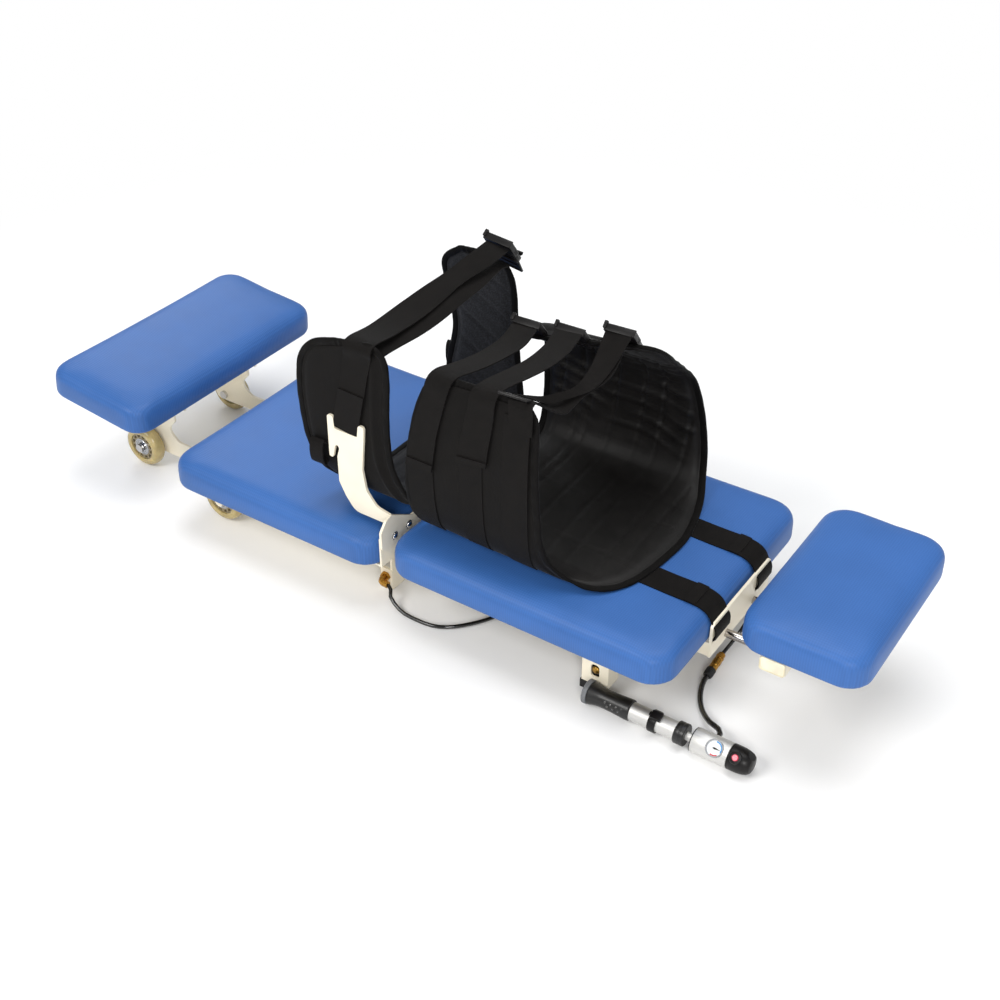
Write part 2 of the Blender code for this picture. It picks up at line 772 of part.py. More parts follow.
def arm(name, side):
    """Side plate from the cross member to the head wheel and pan."""
    root = CROSS_MEMBER_HIGH_X - LAP
    head_top = pan_underside(ARM_HEAD_X) - GAP
    nub_top = pan_underside(ARM_NUB_X) - GAP
    outline = rounded([
        (root, ARM_BOTTOM, PLATE_CORNER),
        (root, ARM_TOP, PLATE_CORNER),
        (ARM_ROOT_X, ARM_TOP, ARM_ROOT_ROUND),
        (ARM_NOTCH_X, ARM_NOTCH_Z, ARM_NOTCH_ROUND),
        (ARM_NUB_X, ARM_NUB_Z, PLATE_CORNER),
        (ARM_NUB_X, nub_top, 0.0),
        (ARM_HEAD_X, head_top, 0.0),
        (ARM_HEAD_X, ARM_NUB_Z, ARM_COLUMN_ROUND),
        (HEAD_AXLE_X - WHEEL_RADIUS / 2, ARM_BOTTOM, ARM_NOTCH_ROUND),
    ])
    hole = circle(HEAD_AXLE_X, WHEEL_RADIUS, AXLE_RADIUS + GAP, 16)
    return plate(name, [outline, hole], SHEET, "XZ", side * ARM_Y, cream_steel())


def head_pan():
    """Tilted plate under the pillow, with lips inside the arms."""
    low_x = HEAD_FOOT_X - HEAD_PAD_LENGTH + HEAD_PAN_INSET
    high_x = HEAD_FOOT_X - HEAD_PAN_INSET
    half_width = HEAD_PAN_HALF_WIDTH
    pan = box("head_pan", (low_x - HEAD_FOOT_X, -half_width, -GAP - SHEET),
              (high_x - HEAD_FOOT_X, half_width, -GAP), cream_steel())
    lips = []
    for label, side in SIDES.items():
        inner, outer = sorted((side * (ARM_INNER_Y - GAP), side * (ARM_INNER_Y - GAP - SHEET)))
        lips.append(box("pan_lip_" + label, (low_x - HEAD_FOOT_X + LAP, inner, -GAP - SHEET - PAN_LIP),
                        (high_x - HEAD_FOOT_X - LAP, outer, -GAP - SHEET / 2), cream_steel()))
    tilt = Matrix.Translation((HEAD_FOOT_X, 0, HEAD_UNDER)) @ Matrix.Rotation(HEAD_TILT, 4, "Y")
    for piece in (pan, *lips):
        piece.matrix_world = tilt @ Matrix.Translation(piece.location)
    join(pan, *lips)


def slide_frame():
    """Cross member with the two bars that telescope into the rails."""
    member = box("slide_frame", (CROSS_MEMBER_LOW_X, -ARM_INNER_Y + GAP, ARM_BOTTOM + LAP),
                 (CROSS_MEMBER_HIGH_X, ARM_INNER_Y - GAP, FRAME_TOP), cream_steel())
    half = SLIDE_SIZE / 2
    for label, side in SIDES.items():
        bar = box("slide_bar_" + label, (CROSS_MEMBER_X, side * RAIL_Y - half, RAIL_Z - half),
                  (SLIDE_REACH, side * RAIL_Y + half, RAIL_Z + half), cream_steel())
        inner = half - SLIDE_WALL
        bore = box("slide_bore_" + label, (CROSS_MEMBER_HIGH_X + LAP, side * RAIL_Y - inner, RAIL_Z - inner),
                   (SLIDE_REACH + OVERRUN, side * RAIL_Y + inner, RAIL_Z + inner), cream_steel())
        join(member, bar)
        cut(member, bore)


def thorax_channel():
    """Cross channel on the arms, its ends turned down as axle ears."""
    low_x = THORAX_AXLE_X - CHANNEL_LENGTH / 2
    high_x = THORAX_AXLE_X + CHANNEL_LENGTH / 2
    ear_y = THORAX_WHEEL_Y - WHEEL_WIDTH / 2 - WHEEL_SPACE
    ear_bottom = WHEEL_RADIUS - 3 * AXLE_RADIUS
    channel = open_box("thorax_channel", (low_x, -ear_y, ear_bottom), (high_x, ear_y, FRAME_TOP),
                       SHEET, cream_steel())
    clear_y = ear_y - SHEET - AXLE_HEAD_HEIGHT
    middle = box("channel_clearance", (low_x - OVERRUN, -clear_y, ear_bottom - OVERRUN),
                 (high_x + OVERRUN, clear_y, ARM_TOP + GAP), cream_steel())
    cut(channel, middle)
    for label, side in SIDES.items():
        reach = THORAX_WHEEL_Y + WHEEL_WIDTH / 2
        axle = turned("stub_axle_" + label, [
            (0, reach - ear_y + AXLE_HEAD_HEIGHT), (AXLE_HEAD_RADIUS, reach - ear_y + AXLE_HEAD_HEIGHT),
            (AXLE_HEAD_RADIUS, reach - ear_y + GAP), (AXLE_RADIUS, reach - ear_y + GAP),
            (AXLE_RADIUS, -SHEET / 2), (0, -SHEET / 2),
        ], (THORAX_AXLE_X, side * ear_y, WHEEL_RADIUS), (0, side, 0), chrome(), 16)
        join(channel, axle)


def thorax_pan():
    """Sheet under the thorax board, turned up at its foot end."""
    flange = THORAX_FOOT_X + GAP
    low_x = THORAX_AXLE_X - CHANNEL_LENGTH / 2
    outline = [Vector(point) for point in (
        (low_x, PAN_TOP), (low_x, PAN_TOP - PAN_SHEET), (flange + PAN_SHEET, PAN_TOP - PAN_SHEET),
        (flange + PAN_SHEET, PAN_FLANGE_TOP), (flange, PAN_FLANGE_TOP), (flange, PAN_TOP),
    )]
    plate("thorax_pan", [outline], 2 * PAN_HALF_WIDTH, "XZ", 0, cream_steel())


def thorax_bracket(name, side):
    """Horned harness bracket on a foot screwed to the pan's flange."""
    foot_x = THORAX_FOOT_X + GAP + PAN_SHEET + GAP + SHEET / 2

    def points(shares):
        return [(THORAX_FOOT_X - BRACKET_LENGTH * x, BRACKET_BOTTOM + BRACKET_HEIGHT * z, BRACKET_ROUND * r)
                for x, z, r in shares]

    outline = [*points(BRACKET_HORN_SHARES), (foot_x, BRACKET_SHOULDER, 0.0), (foot_x, BRACKET_BOTTOM, 0.0),
               *points(BRACKET_BACK_SHARES)]
    body = solid(plate(name, [rounded(outline, 3)], SHEET, "XZ", side * BRACKET_Y, cream_steel()))
    inner = side * (BRACKET_Y - BRACKET_FOOT_INNER)
    middle = side * (BRACKET_Y + BRACKET_FOOT_OUTER / 2)
    outer = side * (BRACKET_Y + BRACKET_FOOT_OUTER)
    low, high = BRACKET_FOOT_BOTTOM, BRACKET_SHOULDER
    foot = solid(plate(name + "_foot", [rounded([
        (inner, low, BRACKET_FOOT_ROUND), (inner, (low + high) / 2, BRACKET_FOOT_ROUND),
        (side * BRACKET_Y, high, SHEET), (middle, high - SHEET, BRACKET_FOOT_ROUND),
        (outer, BRACKET_BOTTOM, BRACKET_FOOT_ROUND), (outer, low + BRACKET_ROUND, BRACKET_FOOT_ROUND),
        (middle, low, BRACKET_FOOT_ROUND),
    ], 3)], SHEET, "YZ", foot_x, cream_steel()))
    join(body, foot)


def wheel(name, x, y, side):
    """Tyre and windowed core of one skate wheel, outer face first."""
    half = WHEEL_WIDTH / 2
    inner = CORE_RADIUS + GAP
    tread = [
        (WHEEL_RADIUS - half * (1 - math.cos(a)) * TREAD_ROUND_SHARE, half * math.sin(a) * TREAD_ROUND_SHARE)
        for a in (math.pi / 2 * k / 2 for k in (2, 1, 0, -1, -2))
    ]
    turned(name + "_tyre", [(inner, half), (TYRE_FACE_RADIUS, half), *tread,
                            (TYRE_FACE_RADIUS, -half), (inner, -half)],
           (x, y, WHEEL_RADIUS), (0, side, 0), amber_tyre(), WHEEL_SIDES, ring=True)
    windows = []
    spread = math.tau / CORE_WINDOWS * WINDOW_FILL_SHARE / 2
    for k in range(CORE_WINDOWS):
        at = math.tau * (k + 0.5) / CORE_WINDOWS
        windows.append([
            Vector((x + r * math.cos(at + turn), WHEEL_RADIUS + r * math.sin(at + turn)))
            for r, turn in ((CORE_WINDOW_INNER, -spread), (CORE_WINDOW_OUTER, -spread),
                            (CORE_WINDOW_OUTER, spread), (CORE_WINDOW_INNER, spread))
        ])
    outlines = [circle(x, WHEEL_RADIUS, CORE_RADIUS, WHEEL_SIDES),
                circle(x, WHEEL_RADIUS, AXLE_RADIUS + GAP, 16), *windows]
    plate(name + "_core", outlines, CORE_WIDTH, "XZ", y, dark_core())


def head_axle(name, side):
    """Bolt through the arm, with its head outside and its nut inside."""
    outer = HEAD_WHEEL_Y + WHEEL_WIDTH / 2 - ARM_Y + GAP
    inner = -SHEET / 2 - GAP
    turned(name, [
        (0, outer + AXLE_HEAD_HEIGHT), (AXLE_HEAD_RADIUS, outer + AXLE_HEAD_HEIGHT),
        (AXLE_HEAD_RADIUS, outer), (AXLE_RADIUS, outer), (AXLE_RADIUS, inner),
        (AXLE_HEAD_RADIUS, inner), (AXLE_HEAD_RADIUS, inner - AXLE_HEAD_HEIGHT),
        (0, inner - AXLE_HEAD_HEIGHT),
    ], (HEAD_AXLE_X, side * ARM_Y, WHEEL_RADIUS), (0, side, 0), chrome(), 16)


def build_rolling_section():
    for label, side in SIDES.items():
        arm("arm_" + label, side)
        thorax_bracket("thorax_bracket_" + label, side)
        wheel("head_wheel_" + label, HEAD_AXLE_X, side * HEAD_WHEEL_Y, side)
        wheel("thorax_wheel_" + label, THORAX_AXLE_X, side * THORAX_WHEEL_Y, side)
        head_axle("head_axle_" + label, side)
    head_pan()
    slide_frame()
    thorax_channel()
    thorax_pan()


# Standing pelvis section

BOARD_REST = PELVIS_UNDER - GAP
CROSSBAR_FRONT_X = PELVIS_FOOT_X + CROSSBAR_STANDOFF + SHEET
CROSSBAR_X = CROSSBAR_FRONT_X - SHEET / 2
RAIL_HEAD_X = GAP_FOOT_X + GAP


def base_rail(name, side):
    """Square tube that the slide bar runs in."""
    half = RAIL_SIZE / 2
    inner = half - RAIL_WALL
    y = side * RAIL_Y
    length = CROSSBAR_X - RAIL_HEAD_X
    plate(name, [rectangle(y - half, RAIL_Z - half, y + half, RAIL_Z + half, RAIL_WALL, 2),
                 rectangle(y - inner, RAIL_Z - inner, y + inner, RAIL_Z + inner)],
          length, "YZ", RAIL_HEAD_X + length / 2, cream_steel())


def gap_foot():
    """Sheet foot under the gap, with holes for the slide and the piston."""
    inner = RAIL_SIZE / 2 - RAIL_WALL
    width = GAP_FOOT_HALF_WIDTH
    low_x = GAP_FOOT_X - SHEET
    wall = box("gap_foot", (low_x, -width + SHEET / 2, 0), (GAP_FOOT_X, width - SHEET / 2, FRAME_TOP),
               cream_steel())
    floor = box("gap_foot_floor", (GAP_FOOT_X - GAP_FOOT_LENGTH, -width + SHEET / 2, 0),
                (GAP_FOOT_X - SHEET / 2, width - SHEET / 2, GAP_FOOT_FLANGE), cream_steel())
    join(wall, floor)
    for label, side in SIDES.items():
        hole = box("slide_opening_" + label, (low_x - OVERRUN, side * RAIL_Y - inner, RAIL_Z - inner),
                   (GAP_FOOT_X + OVERRUN, side * RAIL_Y + inner, RAIL_Z + inner), cream_steel())
        cut(wall, hole)
        gusset = solid(plate("gusset_" + label, [rounded([
            (GAP_FOOT_X, 0, PLATE_CORNER), (GAP_FOOT_X, GUSSET_TOP, GUSSET_ROUND),
            (GAP_FOOT_X - GAP_FOOT_LENGTH, GUSSET_TOP, GUSSET_ROUND),
            (GAP_FOOT_X - GAP_FOOT_LENGTH, GAP_FOOT_FLANGE / 2, 0.0),
        ], 3)], SHEET, "XZ", side * (width - SHEET / 2), cream_steel()))
        join(wall, gusset)
    bore = turned("piston_opening", [
        (0, SHEET + 2 * OVERRUN), (PISTON_ROD_RADIUS + GAP, SHEET + 2 * OVERRUN),
        (PISTON_ROD_RADIUS + GAP, 0), (0, 0),
    ], (low_x - OVERRUN, 0, CYLINDER_Z), (1, 0, 0), cream_steel(), 16)
    cut(wall, bore)


def head_bearer():
    """Box tube across the rails under the pelvis board's head end."""
    low_x, high_x = HEAD_BEARER_X - HEAD_BEARER_LENGTH / 2, HEAD_BEARER_X + HEAD_BEARER_LENGTH / 2
    plate("head_bearer", [
        rectangle(low_x, RAIL_TOP + GAP, high_x, BOARD_REST, BEARER_WALL, 2),
        rectangle(low_x + BEARER_WALL, RAIL_TOP + GAP + BEARER_WALL, high_x - BEARER_WALL,
                  BOARD_REST - BEARER_WALL),
    ], 2 * HEAD_BEARER_HALF_WIDTH, "XZ", 0, cream_steel())


def rod_cutter(name, side, low_x, high_x):
    radius = ROD_RADIUS + GAP
    return turned(name, [(0, high_x - low_x), (radius, high_x - low_x), (radius, 0), (0, 0)],
                  (low_x, side * ROD_Y, ROD_Z), (1, 0, 0), cream_steel(), 16)


def foot_beam():
    """Cross channel over the rails, its ends turned down to slotted legs."""
    low_x, high_x = FOOT_BEAM_X - FOOT_BEAM_LENGTH / 2, FOOT_BEAM_X + FOOT_BEAM_LENGTH / 2
    width = FOOT_BEAM_HALF_WIDTH
    beam = open_box("foot_beam", (low_x, -width, FOOT_LEG_BOTTOM), (high_x, width, BOARD_REST),
                    FOOT_BEAM_WALL, cream_steel())
    clear_y = width - FOOT_LEG_WIDTH
    middle = box("beam_clearance", (low_x - OVERRUN, -clear_y, FOOT_LEG_BOTTOM - OVERRUN),
                 (high_x + OVERRUN, clear_y, RAIL_TOP + GAP), cream_steel())
    cut(beam, middle)
    half_slot = FOOT_SLOT_WIDTH / 2
    slot = solid(plate("leg_slots", [rounded([
        (FOOT_BEAM_X - half_slot, FOOT_LEG_BOTTOM + FOOT_SLOT_WIDTH, FOOT_SLOT_ROUND),
        (FOOT_BEAM_X + half_slot, FOOT_LEG_BOTTOM + FOOT_SLOT_WIDTH, FOOT_SLOT_ROUND),
        (FOOT_BEAM_X + half_slot, FOOT_SLOT_TOP, FOOT_SLOT_ROUND),
        (FOOT_BEAM_X - half_slot, FOOT_SLOT_TOP, FOOT_SLOT_ROUND),
    ])], 2 * width + 2 * OVERRUN, "XZ", 0, cream_steel()))
    cut(beam, slot)
    for label, side in SIDES.items():
        cut(beam, rod_cutter("beam_hole_" + label, side, low_x - OVERRUN, high_x + OVERRUN))


def rubber_foot(name, side):
    """Block under a leg, with a plug that fits up inside it."""
    low_x = FOOT_BEAM_X - FOOT_BEAM_LENGTH / 2
    wall = FOOT_BEAM_WALL + GAP
    top = FOOT_LEG_BOTTOM - GAP
    start = low_x - RUBBER_OVERHANG
    inner = FOOT_BEAM_HALF_WIDTH - FOOT_LEG_WIDTH
    near, far = sorted((side * inner, side * FOOT_BEAM_HALF_WIDTH))
    block = box(name, (start, near, 0), (start + RUBBER_LENGTH, far, top), black_rubber())
    near, far = sorted((side * (inner + LAP), side * (FOOT_BEAM_HALF_WIDTH - wall)))
    plug = box(name + "_plug", (low_x + wall, near, top / 2),
               (start + RUBBER_LENGTH - LAP, far, top + RUBBER_PLUG_HEIGHT), black_rubber())
    join(block, plug)


def crossbar():
    """Folded bar at the foot end that the pull straps loop round."""
    width = CROSSBAR_HALF_WIDTH
    corner = PLATE_CORNER
    face = [(-width, CROSSBAR_BOTTOM, 0.0), (width, CROSSBAR_BOTTOM, 0.0),
            (width, CROSSBAR_TOP - corner, corner / 2), (width - corner, CROSSBAR_TOP, corner / 2),
            (-width + corner, CROSSBAR_TOP, corner / 2), (-width, CROSSBAR_TOP - corner, corner / 2)]
    front = solid(plate("crossbar", [rounded(face, 2)], SHEET, "YZ", CROSSBAR_X, cream_steel()))
    back_x = CROSSBAR_FRONT_X - CROSSBAR_DEPTH
    outer = width - LAP / 2
    low_z = CROSSBAR_BOTTOM + GAP
    tray = box("crossbar_tray", (back_x, -outer, low_z), (CROSSBAR_X, outer, BOARD_REST), cream_steel())
    hollow = box("tray_hollow", (back_x + SHEET, -outer + SHEET, low_z - OVERRUN),
                 (CROSSBAR_X - SHEET / 2, outer - SHEET, BOARD_REST + OVERRUN), cream_steel())
    cut(tray, hollow)
    join(front, tray)
    half_slot = STRAP_WIDTH / 2 + STRAP_SLOT_PLAY
    for label, side in SIDES.items():
        slot = box("strap_slot_" + label, (CROSSBAR_X - SHEET, side * STRAP_Y - half_slot, STRAP_SLOT_BOTTOM),
                   (CROSSBAR_X + SHEET, side * STRAP_Y + half_slot, STRAP_SLOT_TOP), cream_steel())
        rod_hole = rod_cutter("crossbar_hole_" + label, side, back_x - OVERRUN, CROSSBAR_FRONT_X + OVERRUN)
        cut(front, slot, rod_hole)


def air_cylinder():
    """Cylinder behind the gap foot, its bore open towards the piston rod."""
    bore = PISTON_ROD_RADIUS + GAP
    cap, length = CYLINDER_CAP_LENGTH, CYLINDER_LENGTH
    turned("air_cylinder", [
        (0, length), (CYLINDER_CAP_RADIUS, length), (CYLINDER_CAP_RADIUS, length - cap),
        (CYLINDER_RADIUS, length - cap), (CYLINDER_RADIUS, cap), (CYLINDER_CAP_RADIUS, cap),
        (CYLINDER_CAP_RADIUS, 0), (bore, 0), (bore, PISTON_BORE_DEPTH), (0, PISTON_BORE_DEPTH),
    ], (RAIL_HEAD_X, 0, CYLINDER_Z), (1, 0, 0), silver(), 24)


def piston_rod():
    """Rod from the slide's cross member into the cylinder."""
    start = CROSS_MEMBER_HIGH_X + GAP
    reach = RAIL_HEAD_X + PISTON_REACH - start
    turned("piston_rod", [
        (0, reach), (PISTON_ROD_RADIUS, reach), (PISTON_ROD_RADIUS, PISTON_NUT_LENGTH),
        (PISTON_NUT_RADIUS, PISTON_NUT_LENGTH), (PISTON_NUT_RADIUS, 0), (0, 0),
    ], (start, 0, CYLINDER_Z), (1, 0, 0), chrome(), 16)


def leg_carrier():
    """Cross tube under the leg pad on two rods that slide in the frame."""
    top = LEG_UNDER - GAP
    low = top - LEG_TUBE_HEIGHT
    wall = LEG_TUBE_WALL
    reach = LEG_TUBE_HALF_LENGTH
    low_x, high_x = LEG_TUBE_X - LEG_TUBE_WIDTH / 2, LEG_TUBE_X + LEG_TUBE_WIDTH / 2
    carrier = box("leg_carrier", (low_x, -reach, low), (high_x, reach, top), cream_steel())
    bore = box("leg_tube_bore", (low_x + wall, -reach - OVERRUN, low + wall),
               (high_x - wall, reach + OVERRUN, top - wall), cream_steel())
    cut(carrier, bore)
    for label, side in SIDES.items():
        y = side * ROD_Y
        bend = [(LEG_TUBE_X - ROD_BEND * (1 - math.sin(a)), y, ROD_Z + ROD_BEND * (1 - math.cos(a)))
                for a in (math.pi / 2 * k / 6 for k in range(7))]
        rod = solid(tube("rod_" + label, [(ROD_HEAD_X, y, ROD_Z), *bend, (LEG_TUBE_X, y, low + wall / 2)],
                         ROD_RADIUS, chrome(), 3))
        join(carrier, rod)


def build_standing_section():
    for label, side in SIDES.items():
        base_rail("base_rail_" + label, side)
        rubber_foot("rubber_foot_" + label, side)
    gap_foot()
    head_bearer()
    foot_beam()
    crossbar()
    air_cylinder()
    piston_rod()
    leg_carrier()


# Hand pump

PUMP_Z = PUMP_HEAD_RADIUS + GAP
GRIP_X = PUMP_RING_X + PUMP_RING_LENGTH + GAP
BARREL_X = GRIP_X + PUMP_GRIP_LENGTH + GAP
COLLAR_X = BARREL_X + PUMP_BARREL_LENGTH + GAP
PUMP_HEAD_X = COLLAR_X + PUMP_COLLAR_LENGTH + PUMP_NECK_SHOWN
PUMP_CAP_X = PUMP_HEAD_X + PUMP_HEAD_LENGTH + GAP
FACE_NORMAL = Vector((0, -math.sin(PUMP_FACE_TURN), math.cos(PUMP_FACE_TURN)))


def along_pump(name, profile, x, look, sides=24, ring=False):
    return turned(name, profile, (x, PUMP_Y, PUMP_Z), (1, 0, 0), look, sides, ring)


def pump_handle():
    neck = PUMP_NECK_RADIUS + GAP
    along_pump("grip_ring", [
        (0, PUMP_RING_LENGTH), (PUMP_RING_RADIUS, PUMP_RING_LENGTH),
        (PUMP_RING_RADIUS, PUMP_RING_LENGTH / 4), (PUMP_RING_RADIUS * 0.9, 0), (0, 0),
    ], PUMP_RING_X, grey_plastic())
    length = PUMP_GRIP_LENGTH
    along_pump("pump_grip", [
        (0, length), (PUMP_GRIP_END * 0.93, length), (PUMP_GRIP_END, length * 0.94),
        (PUMP_GRIP_END, length * 0.75), (PUMP_GRIP_WAIST, length * 0.38),
        (PUMP_GRIP_WAIST, length * 0.20), (PUMP_RING_RADIUS * 0.93, 0), (0, 0),
    ], GRIP_X, black_rubber())
    length = PUMP_BARREL_LENGTH
    along_pump("pump_barrel", [
        (0, BARREL_END), (neck, BARREL_END), (neck, length), (PUMP_BARREL_RADIUS, length),
        (PUMP_BARREL_RADIUS, 0), (0, 0),
    ], BARREL_X, silver())
    inner = PUMP_BARREL_RADIUS + GAP
    along_pump("pump_clip", [
        (inner, PUMP_CLIP_LENGTH), (PUMP_CLIP_RADIUS, PUMP_CLIP_LENGTH), (PUMP_CLIP_RADIUS, 0), (inner, 0),
    ], BARREL_X + PUMP_CLIP_OFFSET, black_plastic(), ring=True)
    along_pump("barrel_collar", [
        (neck, PUMP_COLLAR_LENGTH), (PUMP_COLLAR_RADIUS, PUMP_COLLAR_LENGTH),
        (PUMP_COLLAR_RADIUS, 0), (neck, 0),
    ], COLLAR_X, black_plastic(), ring=True)


def face_seat(name, radius, depth, x):
    """A cylinder sunk into the pump head from its sloping face."""
    seat = Vector((x, PUMP_Y, PUMP_Z)) + FACE_NORMAL * (PUMP_HEAD_RADIUS - depth)
    return turned(name, [(0, PUMP_HEAD_RADIUS), (radius, PUMP_HEAD_RADIUS), (radius, 0), (0, 0)],
                  seat, FACE_NORMAL, silver())


def pump_head():
    neck_reach = PUMP_NECK_SHOWN + PUMP_NECK_INSIDE
    head = along_pump("pump_head", [
        (0, PUMP_HEAD_LENGTH), (PUMP_HEAD_RADIUS, PUMP_HEAD_LENGTH), (PUMP_HEAD_RADIUS, PUMP_EDGE),
        (PUMP_HEAD_RADIUS * 0.94, 0), (PUMP_NECK_RADIUS, 0), (PUMP_NECK_RADIUS, -neck_reach),
        (0, -neck_reach),
    ], PUMP_HEAD_X, silver(), 32)
    dial_x = PUMP_CAP_X - DIAL_FROM_CAP
    cut(head, face_seat("dial_seat", DIAL_RADIUS + GAP, DIAL_HEIGHT + DIAL_WELL, dial_x))
    cap_length = PUMP_CAP_LENGTH
    cap = along_pump("pump_head_cap", [
        (0, cap_length), (PUMP_HEAD_RADIUS * 0.45, cap_length), (PUMP_HEAD_RADIUS * 0.78, cap_length * 0.85),
        (PUMP_HEAD_RADIUS, cap_length * 0.45), (PUMP_HEAD_RADIUS, 0), (0, 0),
    ], PUMP_CAP_X, black_plastic(), 32)
    button_x = PUMP_CAP_X + BUTTON_FROM_HEAD
    cut(cap, face_seat("button_seat", BUTTON_RADIUS + GAP, BUTTON_HEIGHT, button_x))
    base = Vector((dial_x, PUMP_Y, PUMP_Z)) + FACE_NORMAL * (PUMP_HEAD_RADIUS - DIAL_HEIGHT - DIAL_WELL + GAP)
    inner = DIAL_RADIUS - DIAL_RIM
    floor = DIAL_HEIGHT - DIAL_WELL
    turned("gauge_dial", [
        (0, floor), (inner, floor), (inner, DIAL_HEIGHT), (DIAL_RADIUS, DIAL_HEIGHT),
        (DIAL_RADIUS, 0), (0, 0),
    ], base, FACE_NORMAL, dial_white())
    needle_base = base + FACE_NORMAL * (floor + GAP + NEEDLE_THICKNESS / 2)
    tail = NEEDLE_LENGTH * NEEDLE_TAIL_SHARE
    needle = plate("gauge_needle", [[Vector(point) for point in (
        (-tail, -NEEDLE_WIDTH / 2), (0, -NEEDLE_WIDTH), (NEEDLE_LENGTH, 0), (0, NEEDLE_WIDTH),
        (-tail, NEEDLE_WIDTH / 2),
    )]], NEEDLE_THICKNESS, "XY", 0, black_plastic())
    needle.matrix_world = Matrix.Translation(needle_base) @ Matrix.Rotation(PUMP_FACE_TURN, 4, "X")
    button_lift = PUMP_HEAD_RADIUS - BUTTON_HEIGHT + BUTTON_TRAVEL + GAP
    button_base = Vector((button_x, PUMP_Y, PUMP_Z)) + FACE_NORMAL * button_lift
    turned("release_button", [
        (0, BUTTON_HEIGHT), (BUTTON_RADIUS * 0.75, BUTTON_HEIGHT), (BUTTON_RADIUS, BUTTON_HEIGHT * 0.8),
        (BUTTON_RADIUS, 0), (0, 0),
    ], button_base, FACE_NORMAL, red_plastic(), 20)


# Air line

COUPLING_START = Vector((0.4508, -0.0110, 0.0140))
COUPLING_END = Vector((0.4515, -0.0450, 0.0110))
ELBOW_X = GAP_FOOT_X - GAP_FOOT_LENGTH / 2
HOSE_PORT_X = PUMP_HEAD_X + HOSE_PORT_FROM_HEAD


def air_elbow():
    """Bulkhead elbow on the near gusset, its outlet turned to the hose."""
    y = -GAP_FOOT_HALF_WIDTH - GAP
    z = ELBOW_Z
    bend = ELBOW_RADIUS * ELBOW_BEND_SHARE
    points = [(ELBOW_X, y, z), (ELBOW_X, y - ELBOW_NUT_RADIUS, z)]
    points += [(ELBOW_X + bend * (1 - math.cos(a)), y - ELBOW_NUT_RADIUS - bend * math.sin(a), z)
               for a in (math.pi / 2 * k / 4 for k in range(1, 5))]
    points.append((ELBOW_X + 2 * bend, y - ELBOW_NUT_RADIUS - bend, z))
    elbow = solid(tube("air_elbow", points, ELBOW_RADIUS, brass(), 2))
    nut = turned("elbow_nut", [(0, ELBOW_RADIUS), (ELBOW_NUT_RADIUS, ELBOW_RADIUS), (ELBOW_NUT_RADIUS, 0),
                               (0, 0)], (ELBOW_X, y, z), (0, -1, 0), brass(), 6)
    join(elbow, nut)
    return Vector(points[-1])


def build_air_line():
    outlet = air_elbow() + Vector((GAP, 0, 0))
    floor = LINE_RADIUS + GAP
    port_x = RAIL_HEAD_X + CYLINDER_LENGTH - CYLINDER_CAP_LENGTH / 2
    side_port = Vector((port_x, -CYLINDER_CAP_RADIUS - GAP, CYLINDER_Z))
    tube("hose_loop", hose_route(outlet, (1, 0, 0), [
        (-0.0280, -0.1800, 0.0180), (-0.0060, -0.1870, 0.0065), (0.0180, -0.1889, floor),
        (0.0545, -0.1866, floor), (0.0794, -0.1740, floor), (0.1027, -0.1486, floor),
        (0.1197, -0.1216, floor), (0.1380, -0.0920, 0.0070), (0.1520, -0.0680, 0.0180),
        (0.1560, -0.0480, 0.0340), (0.1553, -0.0400, 0.0480),
    ], side_port, (0, 1, 0), 2 * LINE_RADIUS, LINE_SPACING), LINE_RADIUS, black_rubber())
    along = (COUPLING_END - COUPLING_START).normalized()
    tail = Vector((RAIL_HEAD_X + CYLINDER_LENGTH + GAP, 0, CYLINDER_Z))
    tube("supply_tube", hose_route(tail, (1, 0, 0), [
        (0.2300, 0.0060, 0.0460), (0.3200, 0.0180, 0.0400), (0.4000, 0.0320, 0.0520),
        (0.4480, 0.0410, 0.0620), (0.4620, 0.0440, 0.0580), (0.4620, 0.0390, 0.0480),
        (0.4570, 0.0300, 0.0300), (0.4525, 0.0120, 0.0180),
    ], COUPLING_START - along * GAP, along, 2 * THIN_LINE_RADIUS, LINE_SPACING),
        THIN_LINE_RADIUS, black_rubber())
    length = (COUPLING_END - COUPLING_START).length
    turned("quick_coupling", [
        (0, length), (COUPLING_RADIUS * 0.8, length), (COUPLING_RADIUS, length * 0.9),
        (COUPLING_RADIUS, length * 0.55), (COUPLING_RADIUS * 0.8, length * 0.5),
        (COUPLING_RADIUS * 0.8, length * 0.4), (COUPLING_RADIUS, length * 0.35),
        (COUPLING_RADIUS, length * 0.1), (COUPLING_RADIUS * 0.7, 0), (0, 0),
    ], COUPLING_START, along, brass(), 12)
    sleeve_start = COUPLING_END + along * GAP
    sleeve_end = sleeve_start + along * SLEEVE_LENGTH
    turned("coupling_sleeve", [
        (0, SLEEVE_LENGTH), (SLEEVE_RADIUS * 0.85, SLEEVE_LENGTH), (SLEEVE_RADIUS, SLEEVE_LENGTH * 0.8),
        (SLEEVE_RADIUS, 0), (0, 0),
    ], sleeve_start, along, black_rubber(), 16)
    rest = PUMP_LINE_RADIUS + GAP
    port = Vector((HOSE_PORT_X, PUMP_Y + PUMP_HEAD_RADIUS + GAP, PUMP_Z))
    tube("pump_hose", hose_route(sleeve_end + along * GAP, along, [
        (0.4560, -0.0860, 0.0065), (0.4648, -0.1051, rest), (0.4790, -0.1250, 0.0065),
        (0.4990, -0.1440, 0.0130), (0.5160, -0.1530, 0.0175),
    ], port, (0, -1, 0), PUMP_LINE_RADIUS, LINE_SPACING), PUMP_LINE_RADIUS, black_rubber())


# Harness, belt and straps

